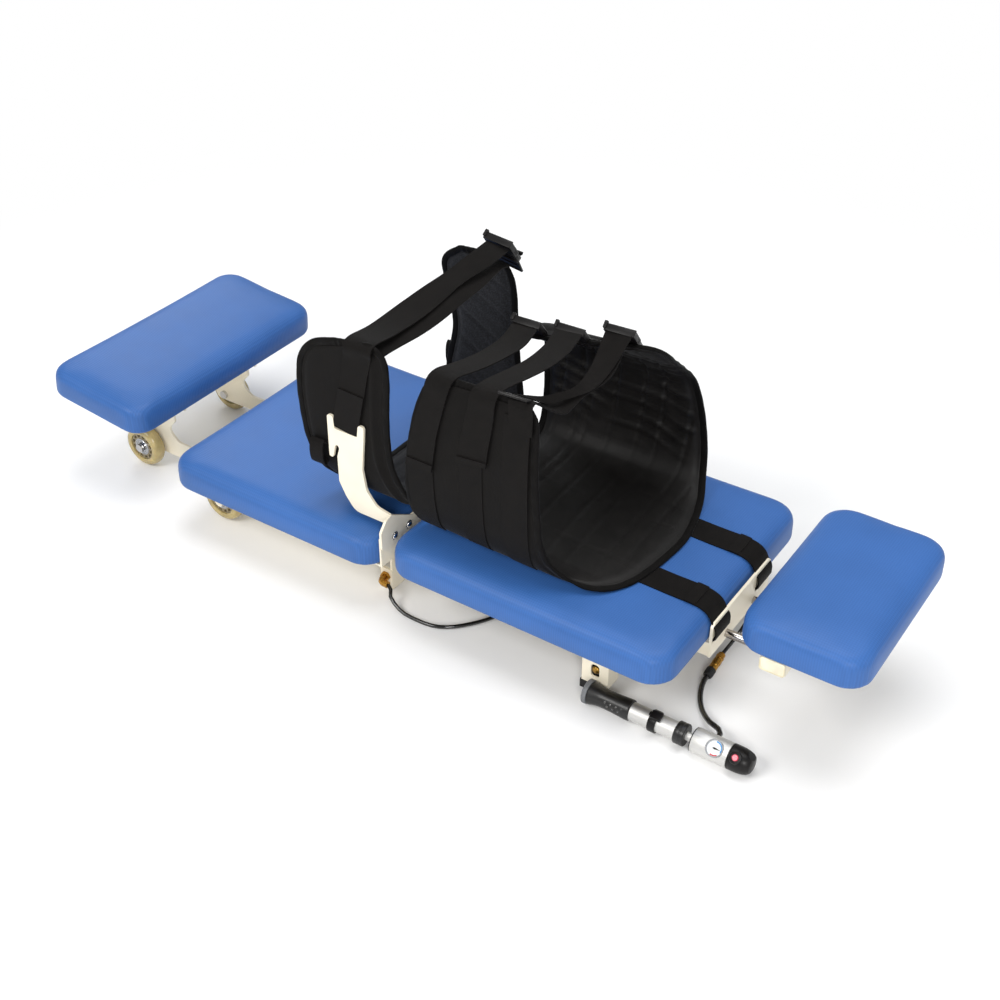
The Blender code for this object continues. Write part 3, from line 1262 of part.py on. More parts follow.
HARNESS_ORIGIN = Vector((THORAX_FOOT_X, 0, THORAX_UNDER + PAD_THICKNESS + PADDING / 2 + GAP))
HARNESS_SIZE = Vector((HARNESS_LENGTH, HARNESS_HALF_WIDTH, HARNESS_HEIGHT))
BELT_ORIGIN = Vector((PELVIS_HEAD_X, 0, PELVIS_UNDER + PAD_THICKNESS + PADDING / 2 + GAP))
BELT_SIZE = Vector((BELT_LENGTH, BELT_HALF_WIDTH, BELT_HEIGHT))


def placed(origin, size, shares):
    """The point at these shares of a soft piece's length, half width and height."""
    return origin + size * Vector(shares)


def thorax_harness():
    """Padded U round the chest, with its chest strap."""
    rows = [[placed(HARNESS_ORIGIN, HARNESS_SIZE, point) for point in row] for row in HARNESS_ROW_SHARES]
    shell = loft("thorax_harness", rows, SHELL_COLUMN_STEPS, SHELL_STEPS, PADDING, black_fabric())
    route = [placed(HARNESS_ORIGIN, HARNESS_SIZE, point) for point in CHEST_STRAP_SHARES]
    join(shell, ribbon("chest_strap", route, STRAP_WIDTH, STRAP_THICKNESS, black_fabric()))
    buckle("chest_buckle", route[-1] + Vector((0, GAP, 0)), CHEST_BUCKLE_WIDTH)


def buckle(name, strap_end, width):
    """Side-release buckle body with the bar that its strap folds round."""
    low = strap_end + Vector((-width / 2, 0, -BUCKLE_HEIGHT / 2))
    high = strap_end + Vector((width / 2, BUCKLE_DEPTH, BUCKLE_HEIGHT / 2))
    body = box(name, low, high, black_plastic())
    edges = body.modifiers.new("edges", "BEVEL")
    edges.width = BUCKLE_EDGE
    edges.segments = 1


def belt_strap_route(places, heights):
    """From the hem up the belt's near wall and over to the buckle."""
    start_x, top_x, end_x = (PELVIS_HEAD_X + BELT_LENGTH * share for share in places)
    hem_z, wall_z, buckle_z = (BELT_ORIGIN.z + BELT_HEIGHT * share for share in heights)
    skin = BELT_HALF_WIDTH + (PADDING + STRAP_THICKNESS) / 2 - SEAM_BITE
    turn = skin - STRAP_OVER_EDGE
    return [Vector(point) for point in (
        (start_x, -skin, hem_z),
        ((start_x + top_x) / 2, -skin + SEAM_BITE, (hem_z + wall_z) / 2),
        (top_x, -turn, wall_z),
        ((top_x + end_x) / 2, -BELT_HALF_WIDTH * 0.78, (wall_z + buckle_z) / 2 + STRAP_ARCH),
        ((top_x + 3 * end_x) / 4, -BELT_HALF_WIDTH * 0.44, buckle_z - STRAP_THICKNESS),
        (end_x, -STRAP_PLAY, buckle_z),
    )]


def pelvic_belt():
    """Padded belt standing on the pelvis pad, with its closing straps."""
    rows = [[placed(BELT_ORIGIN, BELT_SIZE, point) for point in row] for row in BELT_ROW_SHARES]
    shell = loft("pelvic_belt", rows, SHELL_COLUMN_STEPS, SHELL_STEPS, PADDING, black_fabric())
    for label, (places, heights) in BELT_STRAP_SHARES.items():
        route = belt_strap_route(places, heights)
        join(shell, ribbon("belt_strap_" + label, route, STRAP_WIDTH, STRAP_THICKNESS, black_fabric()))
        buckle("belt_buckle_" + label, route[-1] + Vector((0, GAP, 0)), BELT_BUCKLE_WIDTH)


def pull_strap(name, side):
    """Webbing from the belt over the pad's end and round the crossbar."""
    start = PELVIS_FOOT_X - PULL_STRAP_SHOWN
    rest = PELVIS_UNDER + PAD_THICKNESS + GAP
    thick = STRAP_THICKNESS
    inside = PELVIS_FOOT_X + STRAP_PLAY
    outside = CROSSBAR_FRONT_X + STRAP_PLAY + thick
    bottom = STRAP_SLOT_BOTTOM + STRAP_PLAY / 2
    outer = rounded([
        (start, rest, 0.0), (inside, rest, PAD_ROLL - STRAP_PLAY), (inside, bottom, thick / 2),
        (outside, bottom, thick / 2), (outside, rest + thick, PAD_ROLL + 2 * thick),
        (start, rest + thick, 0.0),
    ], 4)
    hole = rounded([
        (inside + thick, bottom + thick, 0.0), (outside - thick, bottom + thick, 0.0),
        (outside - thick, CROSSBAR_TOP + STRAP_PLAY, thick / 2),
        (inside + thick, CROSSBAR_TOP + STRAP_PLAY, thick / 2),
    ], 2)
    plate(name, [outer, hole], STRAP_WIDTH, "XZ", side * STRAP_Y, black_fabric())


def build_soft_goods():
    thorax_harness()
    pelvic_belt()
    for label, side in SIDES.items():
        pull_strap("pull_strap_" + label, side)


def main():
    clear_scene()
    build_pads()
    build_rolling_section()
    build_standing_section()
    pump_handle()
    pump_head()
    build_air_line()
    build_soft_goods()


main()
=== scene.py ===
"""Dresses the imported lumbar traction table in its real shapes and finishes."""
import math

import bmesh
import bpy
from mathutils import Matrix, Vector, noise, Quaternion


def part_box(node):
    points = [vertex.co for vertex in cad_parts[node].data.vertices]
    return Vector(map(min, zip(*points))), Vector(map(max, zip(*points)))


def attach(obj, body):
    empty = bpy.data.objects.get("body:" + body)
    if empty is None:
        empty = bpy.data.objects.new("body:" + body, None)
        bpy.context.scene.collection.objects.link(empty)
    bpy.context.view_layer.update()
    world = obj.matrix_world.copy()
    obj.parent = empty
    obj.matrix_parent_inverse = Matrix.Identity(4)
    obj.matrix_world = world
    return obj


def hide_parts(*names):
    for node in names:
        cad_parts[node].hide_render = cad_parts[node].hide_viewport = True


bl_info = {
    "name": "Lumbar traction table",
    "version": (1, 0, 0),
    "blender": (4, 5, 0),
    "location": "View3D > Sidebar > Table",
    "description": "Builds the upholstery, webbing, wheels and pump around the packed frame",
    "category": "Object",
}

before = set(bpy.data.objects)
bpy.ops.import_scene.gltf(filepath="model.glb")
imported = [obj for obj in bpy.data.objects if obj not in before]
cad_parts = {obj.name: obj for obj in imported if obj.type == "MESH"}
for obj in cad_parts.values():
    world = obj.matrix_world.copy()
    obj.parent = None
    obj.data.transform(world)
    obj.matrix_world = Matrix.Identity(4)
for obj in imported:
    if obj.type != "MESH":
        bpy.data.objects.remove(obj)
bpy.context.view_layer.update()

PELVIS, CHEST, LEGS, HANDLE = "pelvis_section", "chest_section", "leg_rest", "pump_handle"
SIDES = {"near": -1, "far": 1}
WHEELS = ("head_wheel_near", "head_wheel_far", "thorax_wheel_near", "thorax_wheel_far")
FACE_TURN = math.radians(43.0)
FACE_NORMAL = Vector((0, -math.sin(FACE_TURN), math.cos(FACE_TURN)))
FOOTWARD = (1, 0, 0)
WELD = 0.00001
STRAP_STEP, LEAST_FLAT = 0.006, 0.0101


# Sizes and colours that a user would change

def srgb(code):
    """The linear colour of an sRGB hex code."""
    channels = [int(code[i:i + 2], 16) / 255 for i in (0, 2, 4)]
    return tuple(c / 12.92 if c <= 0.04045 else ((c + 0.055) / 1.055) ** 2.4 for c in channels)


def colour(title, description, code):
    return bpy.props.FloatVectorProperty(name=title, description=description, subtype="COLOR", size=3,
                                         min=0.0, max=1.0, default=srgb(code))


def length(title, description, size):
    return bpy.props.FloatProperty(name=title, description=description, default=size, unit="LENGTH",
                                   precision=4)


class TableColours(bpy.types.PropertyGroup):
    vinyl: colour("Vinyl", "Colour of the ribbed upholstery", "335E9D")
    steel: colour("Powder coat", "Colour of the painted steel", "F1E8D2")
    cloth: colour("Cloth", "Colour of the harness cloth and webbing", "131110")
    lining: colour("Lining", "Colour of the chest harness's fleece", "16171B")
    tyre: colour("Tyre", "Colour of the polyurethane tyres", "B5A26C")


class TableSizes(bpy.types.PropertyGroup):
    rib_pitch: length("Rib pitch", "Distance between the vinyl's ribs", 0.0036)
    pad_roll: length("Pad roll", "Radius of the pads' rolled top edges", 0.016)
    pad_crown: length("Pad crown", "Rise of the pads' tops", 0.0032)
    webbing_thickness: length("Webbing thickness", "Thickness of the straps", 0.0018)
    weave_pitch: length("Weave pitch", "Distance between the webbing's ribs", 0.0016)
    binding: length("Binding", "Width of the tape round the harness edges", 0.0095)
    shell: length("Padding", "Thickness of the harness's padding", 0.008)


def colours():
    return bpy.context.scene.table_colours


def sizes():
    return bpy.context.scene.table_sizes


# Materials

def node(material, kind, inputs=None, ramp=None, **settings):
    """Adds a node with its settings, input values and links, and colour stops."""
    made = material.node_tree.nodes.new(kind)
    for setting, value in settings.items():
        setattr(made, setting, value)
    for socket, value in (inputs or {}).items():
        if isinstance(value, bpy.types.NodeSocket):
            material.node_tree.links.new(made.inputs[socket], value)
        else:
            made.inputs[socket].default_value = value
    for element, (place, tone) in zip(made.color_ramp.elements if ramp else (), ramp or ()):
        element.position = place
        element.color = (*tone, 1.0)
    return made


def start(name, tone, roughness, metallic=0.0, **extra):
    """A material with its shader's plain values set, and the shader."""
    material = bpy.data.materials.new(name)
    material.use_nodes = True
    shader = material.node_tree.nodes["Principled BSDF"]
    plain = {"Base Color": (*tone, 1.0), "Roughness": roughness, "Metallic": metallic}
    for socket, value in {**plain, **extra}.items():
        shader.inputs[socket].default_value = value
    return material, shader


def shade(tone, factor=1.0):
    return tuple(min(1.0, channel * factor) for channel in tone)


def where(material, stretch=None, space="Object"):
    """Places on the piece, stretched for a grain that runs one way."""
    place = node(material, "ShaderNodeTexCoord").outputs[space]
    if stretch:
        place = node(material, "ShaderNodeMapping", {"Vector": place, "Scale": stretch}).outputs["Vector"]
    return place


def grains(material, place, scale, detail=2.0):
    """Soft irregular spots, more of them in a metre as the scale grows."""
    noise_node = node(material, "ShaderNodeTexNoise", {"Vector": place, "Scale": scale, "Detail": detail})
    return noise_node.outputs["Fac"]


def waves(material, place, pitch, axis):
    """Bands this far apart, in metres, across an axis."""
    return node(material, "ShaderNodeTexWave", {"Vector": place, "Scale": math.tau / (20 * pitch)},
                bands_direction=axis).outputs["Fac"]


def times_plus(material, value, factor, rest):
    return node(material, "ShaderNodeMath", {0: value, 1: factor, 2: rest}, operation="MULTIPLY_ADD").outputs[0]


def surface(material, shader, value, ramp, rough=None, bump=None):
    """Links colour stops over a value, a (value, low, high) roughness and a
    (height, strength, distance) bump to the shader."""
    made = {"Base Color": node(material, "ShaderNodeValToRGB", {"Fac": value}, ramp=ramp).outputs["Color"]}
    if rough:
        made["Roughness"] = node(material, "ShaderNodeMapRange", dict(
            zip(("Value", "To Min", "To Max"), rough))).outputs["Result"]
    if bump:
        made["Normal"] = node(material, "ShaderNodeBump", dict(
            zip(("Height", "Strength", "Distance"), bump))).outputs["Normal"]
    for socket, output in made.items():
        material.node_tree.links.new(shader.inputs[socket], output)
    return material


def ribbed_vinyl():
    """Calendered PVC with a fine ribbed grid: the ribs are bumped into the surface and also painted lighter
    into the base colour as a painted highlight, in lines along the sides and a grid of dots on the top, over a
    random mottle of tone."""
    tone = shade(colours().vinyl)
    material, shader = start("ribbed_vinyl", tone, 0.46, **{
        "Specular IOR Level": 0.28, "Coat Weight": 0.04, "Coat Roughness": 0.35})
    place = where(material)
    ribs = 0.0
    for axis, share in (("X", 0.45), ("Y", 0.35)):
        ribs = times_plus(material, waves(material, place, sizes().rib_pitch, axis), share, ribs)
    mottle = grains(material, place, 7.0, 3.0)
    # Colour ramp over the ribs and the mottle: the ribs' part is painted highlight on the rib crests, the
    # mottle is a random tone.
    return surface(material, shader, times_plus(material, ribs, 0.55, mottle),
                   ((0.32, shade(tone, 0.86)), (1.0, shade(tone, 1.16))), (mottle, 0.40, 0.54),
                   (ribs, 0.45, 0.0005))


def birch_plywood():
    """Sawn birch plywood: long pale grain with darker streaks, dull all over."""
    material, shader = start("birch_plywood", srgb("B08C5E"), 0.72)
    grain = grains(material, where(material, (4.0, 90.0, 90.0)), 1.0, 5.0)
    return surface(material, shader, grain, ((0.3, srgb("8C6A40")), (0.7, srgb("C6A274"))),
                   bump=(grain, 0.3, 0.0004))


def powder_coat():
    """Cream polyester powder coat: a soft orange-peel skin about 1 mm across that
    breaks up the gloss, a touch duller where it has been rubbed."""
    tone = shade(colours().steel)
    material, shader = start("powder_coat", tone, 0.34, **{"Coat Weight": 0.15, "Coat Roughness": 0.2})
    place = where(material)
    peel, rub = grains(material, place, 700.0, 1.0), grains(material, place, 18.0, 4.0)
    return surface(material, shader, rub, ((0.3, shade(tone, 0.93)), (0.6, tone)), (rub, 0.28, 0.46),
                   (peel, 0.18, 0.0003))


def polyurethane():
    """Cast amber polyurethane: cloudy, lets some light in, wet-looking skin."""
    tone = shade(colours().tyre)
    material, shader = start("amber_polyurethane", tone, 0.24, **{
        "Subsurface Weight": 0.35, "Subsurface Radius": (0.006, 0.004, 0.002), "Subsurface Scale": 1.0,
        "Coat Weight": 0.5, "Coat Roughness": 0.12})
    cloud = grains(material, where(material), 60.0, 3.0)
    return surface(material, shader, cloud, ((0.3, shade(tone, 0.72)), (0.65, shade(tone, 1.1))),
                   (cloud, 0.16, 0.34))


def moulded(name, code, roughness, grain=900.0, depth=0.00012, coat=0.0, shine=0.5):
    """Moulded ABS, nylon or rubber: one colour with a fine spark-eroded grain
    that softens the highlights."""
    tone = srgb(code)
    material, shader = start(name, tone, roughness, **{"Coat Weight": coat, "Specular IOR Level": shine})
    place = where(material)
    sparks, cloud = grains(material, place, grain), grains(material, place, 40.0)
    return surface(material, shader, cloud, ((0.3, shade(tone, 0.85)), (0.7, shade(tone, 1.12))),
                   (cloud, roughness * 0.8, roughness * 1.25), (sparks, 0.3, depth))


def drawn_metal(name, code, roughness, stretch):
    """Turned or drawn metal: hair-fine lines along the way it was worked, which
    pull the highlights into streaks."""
    tone = srgb(code)
    material, shader = start(name, tone, roughness, 1.0)
    lines = grains(material, where(material, stretch), 1.0, 3.0)
    return surface(material, shader, lines, ((0.25, shade(tone, 0.88)), (0.75, shade(tone, 1.05))),
                   (lines, roughness * 0.7, roughness * 1.4), (lines, 0.25, 0.00006))


def woven_nylon(name, factor, pitch, strength, sheen=0.02, rough_range=(0.55, 0.8), shine=0.09):
    """Woven nylon: crossing ribs on the piece's own UV map, in metres, with a soft sheen, and the base colour
    painted lighter where the yarns stand up as a painted highlight, over a random cloud of tone."""
    tone = shade(colours().cloth, factor)
    material, shader = start(name, tone, 0.75, **{
        "Sheen Weight": sheen, "Sheen Roughness": 0.4, "Specular IOR Level": shine})
    place = where(material, space="UV")
    weave = node(material, "ShaderNodeMath", {
        0: waves(material, place, pitch, "X"), 1: waves(material, place, pitch * 0.8, "Y")},
        operation="MULTIPLY").outputs[0]
    cloud = grains(material, place, 45.0, 4.0)
    # Colour ramp over the weave and the cloud: the weave's part is painted highlight on the yarn crests, the
    # cloud is a random tone.
    return surface(material, shader, times_plus(material, weave, 0.35, cloud),
                   ((0.35, shade(tone, 0.6)), (0.95, shade(tone, 1.35))), (cloud, *rough_range),
                   (weave, strength, 0.0004))


def brushed_fleece():
    """Brushed polyester fleece: a dark heather with pale flecks and no gloss."""
    tone = shade(colours().lining)
    material, shader = start("brushed_fleece", tone, 0.95, **{
        "Sheen Weight": 0.1, "Sheen Roughness": 0.6, "Specular IOR Level": 0.15})
    fleck = grains(material, where(material), 420.0, 4.0)
    return surface(material, shader, fleck, ((0.42, shade(tone, 0.62)), (0.68, shade(tone, 2.2))),
                   bump=(fleck, 0.5, 0.0006))


LOOKS = {
    "vinyl": ribbed_vinyl,
    "plywood": birch_plywood,
    "steel": powder_coat,
    "tyre": polyurethane,
    "core": lambda: moulded("smoked_nylon", "85785A", 0.32, coat=0.3),
    # Painted shade for the wheel cores' windows.
    "window": lambda: moulded("window_shadow", "2A2519", 0.5),
    "chrome": lambda: drawn_metal("chrome_plate", "CFCDCB", 0.12, (300.0, 300.0, 300.0)),
    "bearing": lambda: drawn_metal("ground_steel", "B9BABC", 0.24, (500.0, 60.0, 500.0)),
    "rod": lambda: drawn_metal("ground_rod", "B4AFAA", 0.16, (20.0, 900.0, 900.0)),
    "aluminium": lambda: drawn_metal("anodised_aluminium", "DAD9D6", 0.52, (12.0, 1100.0, 1100.0)),
    "brass": lambda: drawn_metal("turned_brass", "B98A3E", 0.26, (500.0, 80.0, 500.0)),
    "zinc": lambda: drawn_metal("yellow_zinc", "A8823F", 0.3, (400.0, 400.0, 400.0)),
    "cream_cap": lambda: moulded("cream_cap_nylon", "E4DCC4", 0.42),
    "rubber": lambda: moulded("black_rubber", "0E0D0D", 0.62, 1200.0, 0.0002),
    "tube": lambda: moulded("polyurethane_tube", "0F0E0D", 0.16, 200.0, 0.00004, 0.5),
    "grip": lambda: moulded("grip_rubber", "0D0C0B", 0.42, 1500.0, 0.0001, 0.1),
    # The grip's studs: rubber painted a lighter grey than the grip's as a painted highlight, under a glossy
    # coat.
    "stud": lambda: moulded("stud_rubber_painted_highlight", "3A3836", 0.1, coat=0.9),
    "grey": lambda: moulded("grey_nylon", "6E7073", 0.5),
    "plastic": lambda: moulded("black_acetal", "100E0E", 0.38, coat=0.03, shine=0.24),
    "button": lambda: moulded("red_abs", "D8475F", 0.3, coat=0.4),
    "dial": lambda: moulded("dial_card", "EEF1F4", 0.45),
    "dial_blue": lambda: moulded("dial_blue_ink", "3E8FD0", 0.45),
    "dial_red": lambda: moulded("dial_red_ink", "CC2233", 0.45),
    "lens": lambda: moulded("bezel_grey", "8B8D90", 0.3),
    "webbing": lambda: woven_nylon("nylon_webbing", 1.0, sizes().weave_pitch, 0.55),
    "hem": lambda: woven_nylon("hem_webbing", 1.12, sizes().weave_pitch, 0.6),
    "cloth": lambda: woven_nylon("pack_cloth", 0.85, 0.0022, 0.4, 0.04),
    "binding": lambda: woven_nylon("binding_tape", 0.55, 0.0011, 0.35, 0.03),
    "quilt": lambda: woven_nylon("quilted_taffeta", 1.0, 0.0014, 0.12, 0.03, (0.46, 0.60), 0.28),
    "fleece": brushed_fleece,
}
_made = {}


def look(name):
    """The named material, made once."""
    if name not in _made:
        _made[name] = LOOKS[name]()
    return _made[name]


# Modelling helpers

def mode(name):
    bpy.ops.object.mode_set(mode=name)


def deselect():
    if bpy.context.object and bpy.context.object.mode != "OBJECT":
        mode("OBJECT")
    bpy.ops.object.select_all(action="DESELECT")


def pick(made):
    """Makes this object the only selected and active one."""
    deselect()
    made.select_set(True)
    bpy.context.view_layer.objects.active = made


def edit_all():
    """Edits the active object with everything selected."""
    mode("EDIT")
    bpy.ops.mesh.select_all(action="SELECT")


def modify(made, kind, **settings):
    """Adds a modifier with its settings."""
    added = made.modifiers.new(kind.lower(), kind)
    for setting, value in settings.items():
        setattr(added, setting, value)


def apply_modifiers(made):
    pick(made)
    for modifier in list(made.modifiers):
        bpy.ops.object.modifier_apply(modifier=modifier.name)


def smooth(made, angle):
    pick(made)
    bpy.ops.object.shade_smooth_by_angle(angle=math.radians(angle))
    return made


def settle(made, smooth_angle=40):
    """Applies the place, points the faces outwards and smooths the shading."""
    pick(made)
    bpy.ops.object.transform_apply(location=True, rotation=True, scale=True)
    edit_all()
    bpy.ops.mesh.remove_doubles(threshold=WELD)
    bpy.ops.mesh.normals_make_consistent(inside=False)
    mode("OBJECT")
    return smooth(made, smooth_angle)


def stand(made, place, turn, smooth_angle=40):
    """Turns a piece by a quaternion, or by degrees about X, Y and Z, and settles it in its place."""
    if isinstance(turn, Quaternion):
        made.rotation_mode = "QUATERNION"
        made.rotation_quaternion = turn
    else:
        made.rotation_mode = "XYZ"
        made.rotation_euler = [math.radians(angle) for angle in turn]
    made.location = place
    return settle(made, smooth_angle)


def finish(made, name, finish_name, body, replaces=()):
    """Names a piece and gives it its material and body, and hides the nodes it replaces."""
    made.name = name
    made.data.name = name
    if finish_name:
        made.data.materials.clear()
        made.data.materials.append(look(finish_name))
    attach(made, body)
    if replaces:
        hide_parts(*replaces)
    return made


def choose(made, test, kind="FACE"):
    """Selects the faces or edges whose middle and direction pass the test."""
    mode("EDIT")
    bpy.ops.mesh.select_mode(type=kind)
    bpy.ops.mesh.select_all(action="DESELECT")
    work = bmesh.from_edit_mesh(made.data)
    for part in (work.faces if kind == "FACE" else work.edges):
        if kind == "FACE":
            part.select_set(bool(test(part.calc_center_median(), part.normal)))
        else:
            start_at, end_at = (vert.co for vert in part.verts)
            part.select_set(bool(test((start_at + end_at) / 2, (end_at - start_at).normalized())))
    work.select_flush(True)
    bmesh.update_edit_mesh(made.data)


def bevel(made, width, segments, limit=30.0):
    """Rounds the edges sharper than the limit, in degrees."""
    modify(made, "BEVEL", width=width, segments=segments, angle_limit=math.radians(limit))
    apply_modifiers(made)


def block(low, high, edge=0.0, segments=2):
    """A box between two corners with rounded edges."""
    low, high = Vector(low), Vector(high)
    deselect()
    bpy.ops.mesh.primitive_cube_add(size=1.0, location=(low + high) / 2)
    made = bpy.context.object
    made.scale = high - low
    bpy.ops.object.transform_apply(location=True, rotation=True, scale=True)
    if edge:
        bevel(made, edge, segments)
    return made


def turned(stations, place, direction, sides=40, closed=False):
    """Extrudes a disc through (radius, height) stations along a direction, or a
    ring back to its first station."""
    deselect()
    radius, height = stations[0]
    bpy.ops.mesh.primitive_circle_add(vertices=sides, radius=radius, location=(0, 0, height),
                                      fill_type="NOTHING" if closed else "NGON")
    made = bpy.context.object
    bpy.ops.object.transform_apply(location=True)
    edit_all()
    extrude = bpy.ops.mesh.extrude_edges_move if closed else bpy.ops.mesh.extrude_region_move
    ahead = stations[1:] + (stations[:1] if closed else [])
    for (old_radius, old_height), (new_radius, new_height) in zip(stations, ahead):
        extrude(TRANSFORM_OT_translate={"value": (0, 0, new_height - old_height)})
        factor = new_radius / old_radius
        bpy.ops.transform.resize(value=(factor, factor, 1), center_override=(0, 0, new_height))
    mode("OBJECT")
    return stand(made, place, toward(direction))


def toward(direction):
    return Vector((0, 0, 1)).rotation_difference(Vector(direction))


def turned_ring(stations, place, direction, sides=64):
    return turned(stations, place, direction, sides, closed=True)


def cut_by(made, tool, smooth_angle=None):
    """Cuts a tool out of a piece and removes the tool."""
    modify(made, "BOOLEAN", operation="DIFFERENCE", solver="EXACT", object=tool)
    apply_modifiers(made)
    bpy.data.objects.remove(tool)
    if smooth_angle:
        smooth(made, smooth_angle)


def merge(pieces):
    """Joins objects into the first one."""
    deselect()
    for piece in pieces:
        piece.select_set(True)
    bpy.context.view_layer.objects.active = pieces[0]
    bpy.ops.object.join()
    return pieces[0]


def on_spline(a, b, c, d, t):
    """The point between b and c on a smooth curve through four points."""
    return 0.5 * (2 * b + (c - a) * t + (2 * a - 5 * b + 4 * c - d) * t ** 2
                  + (3 * b - a - 3 * c + d) * t ** 3)


def with_ends(points):
    """The points with one more past each end, for the curve to start and stop by."""
    points = [Vector(point) for point in points]
    return [points[0] * 2 - points[1], *points, points[-1] * 2 - points[-2]]


def length_of(points):
    return sum((q - p).length for p, q in zip(points, points[1:]))


def smooth_line(points, count, steps=24):
    """`count` + 1 evenly spaced points on a smooth curve through the points."""
    ends = with_ends(points)
    fine = [on_spline(*ends[k - 1:k + 3], step / steps)
            for k in range(1, len(ends) - 2) for step in range(steps)]
    fine.append(ends[-2])
    runs = [0.0]
    for p, q in zip(fine, fine[1:]):
        runs.append(runs[-1] + (q - p).length)
    spaced, k = [], 0
    for step in range(count + 1):
        target = runs[-1] * step / count
        while k < len(fine) - 2 and runs[k + 1] < target:
            k += 1
        span = runs[k + 1] - runs[k]
        spaced.append(fine[k].lerp(fine[k + 1], (target - runs[k]) / span if span else 0.0))
    return spaced


def along_table(points, count):
    """Smooth interpolation of a table's rows by their own index, not length."""
    ends = with_ends(points)
    spaced = []
    for step in range(count + 1):
        place = (len(points) - 1) * step / count
        k = min(int(place), len(points) - 2)
        spaced.append(on_spline(*ends[k:k + 4], place - k))
    return spaced


def mesh_from_grid(name, rows, closed_rows=False):
    """A mesh of quads through rows of points, with a UV map in metres."""
    mesh = bpy.data.meshes.new(name)
    work = bmesh.new()
    grid = [[work.verts.new(point) for point in row] for row in rows]
    uv = work.loops.layers.uv.new("UVMap")
    uv_rows = metric_uv(rows)
    for r in range(len(rows) if closed_rows else len(rows) - 1):
        s = (r + 1) % len(rows)
        for c in range(len(rows[0]) - 1):
            corners = ((r, c), (r, c + 1), (s, c + 1), (s, c))
            face = work.faces.new([grid[i][j] for i, j in corners])
            for loop, (i, j) in zip(face.loops, corners):
                loop[uv].uv = uv_rows[i][j]
    work.to_mesh(mesh)
    work.free()
    made = bpy.data.objects.new(name, mesh)
    bpy.context.scene.collection.objects.link(made)
    return made


def metric_uv(rows):
    """UV places in metres: U across each row, V along the middle column."""
    v, out = 0.0, []
    for k, row in enumerate(rows):
        if k:
            middle = len(row) // 2
            v += (row[middle] - rows[k - 1][middle]).length
        u, line = 0.0, []
        for j, point in enumerate(row):
            if j:
                u += (point - row[j - 1]).length
            line.append((u, v))
        out.append(line)
    return out


def webbing(name, stations, body, finish_name="webbing", thickness=None, replaces=()):
    """Flat strap through (left edge, right edge) stations."""
    count = max(4, round(length_of([Vector(pair[0]) for pair in stations]) / STRAP_STEP))
    sides = [smooth_line([pair[k] for pair in stations], count) for k in (0, 1)]
    rows = [[a.lerp(b, share) for share in (0.0, 0.08, 0.36, 0.64, 0.92, 1.0)] for a, b in zip(*sides)]
    made = mesh_from_grid(name, rows)
    modify(made, "SOLIDIFY", thickness=thickness or sizes().webbing_thickness, offset=0.0,
           use_even_offset=True)
    apply_modifiers(made)
    smooth(made, 50)
    finish(made, name, finish_name, body, replaces)
    return made


def millimetres(*values):
    return Vector(values) / 1000


def free_rows(rows):
    """Strap stations from pairs of points in millimetres."""
    return [tuple(millimetres(*point) for point in pair) for pair in rows]


# Stage

CAMERA_PLACE = (1.0457, -1.4719, 1.4135)
CAMERA_TURN = (54.0, 0.0, 34.0)
CAMERA_LENS, CAMERA_SENSOR = 51.19, 36.0
FLOOR_SIZE, FLOOR_DROP = 9.0, 0.0008
LAMP_TARGET = Vector((0.0, 0, 0.15))
LAMPS = (
    ("key", (-0.9, -2.6, 2.6), 1.5, 60.0, (1.0, 0.985, 0.96)),
    ("top", (0.2, 0.4, 3.4), 2.6, 62.0, (1.0, 1.0, 1.0)),
    ("rim", (-2.4, 1.6, 1.9), 1.4, 20.0, (0.97, 0.985, 1.0)),
    ("side", (2.9, 0.4, 1.3), 1.6, 9.0, (1.0, 0.99, 0.98)),
    ("fill", (1.7, -2.2, 1.5), 0.9, 34.0, (1.0, 0.99, 0.98)),
)


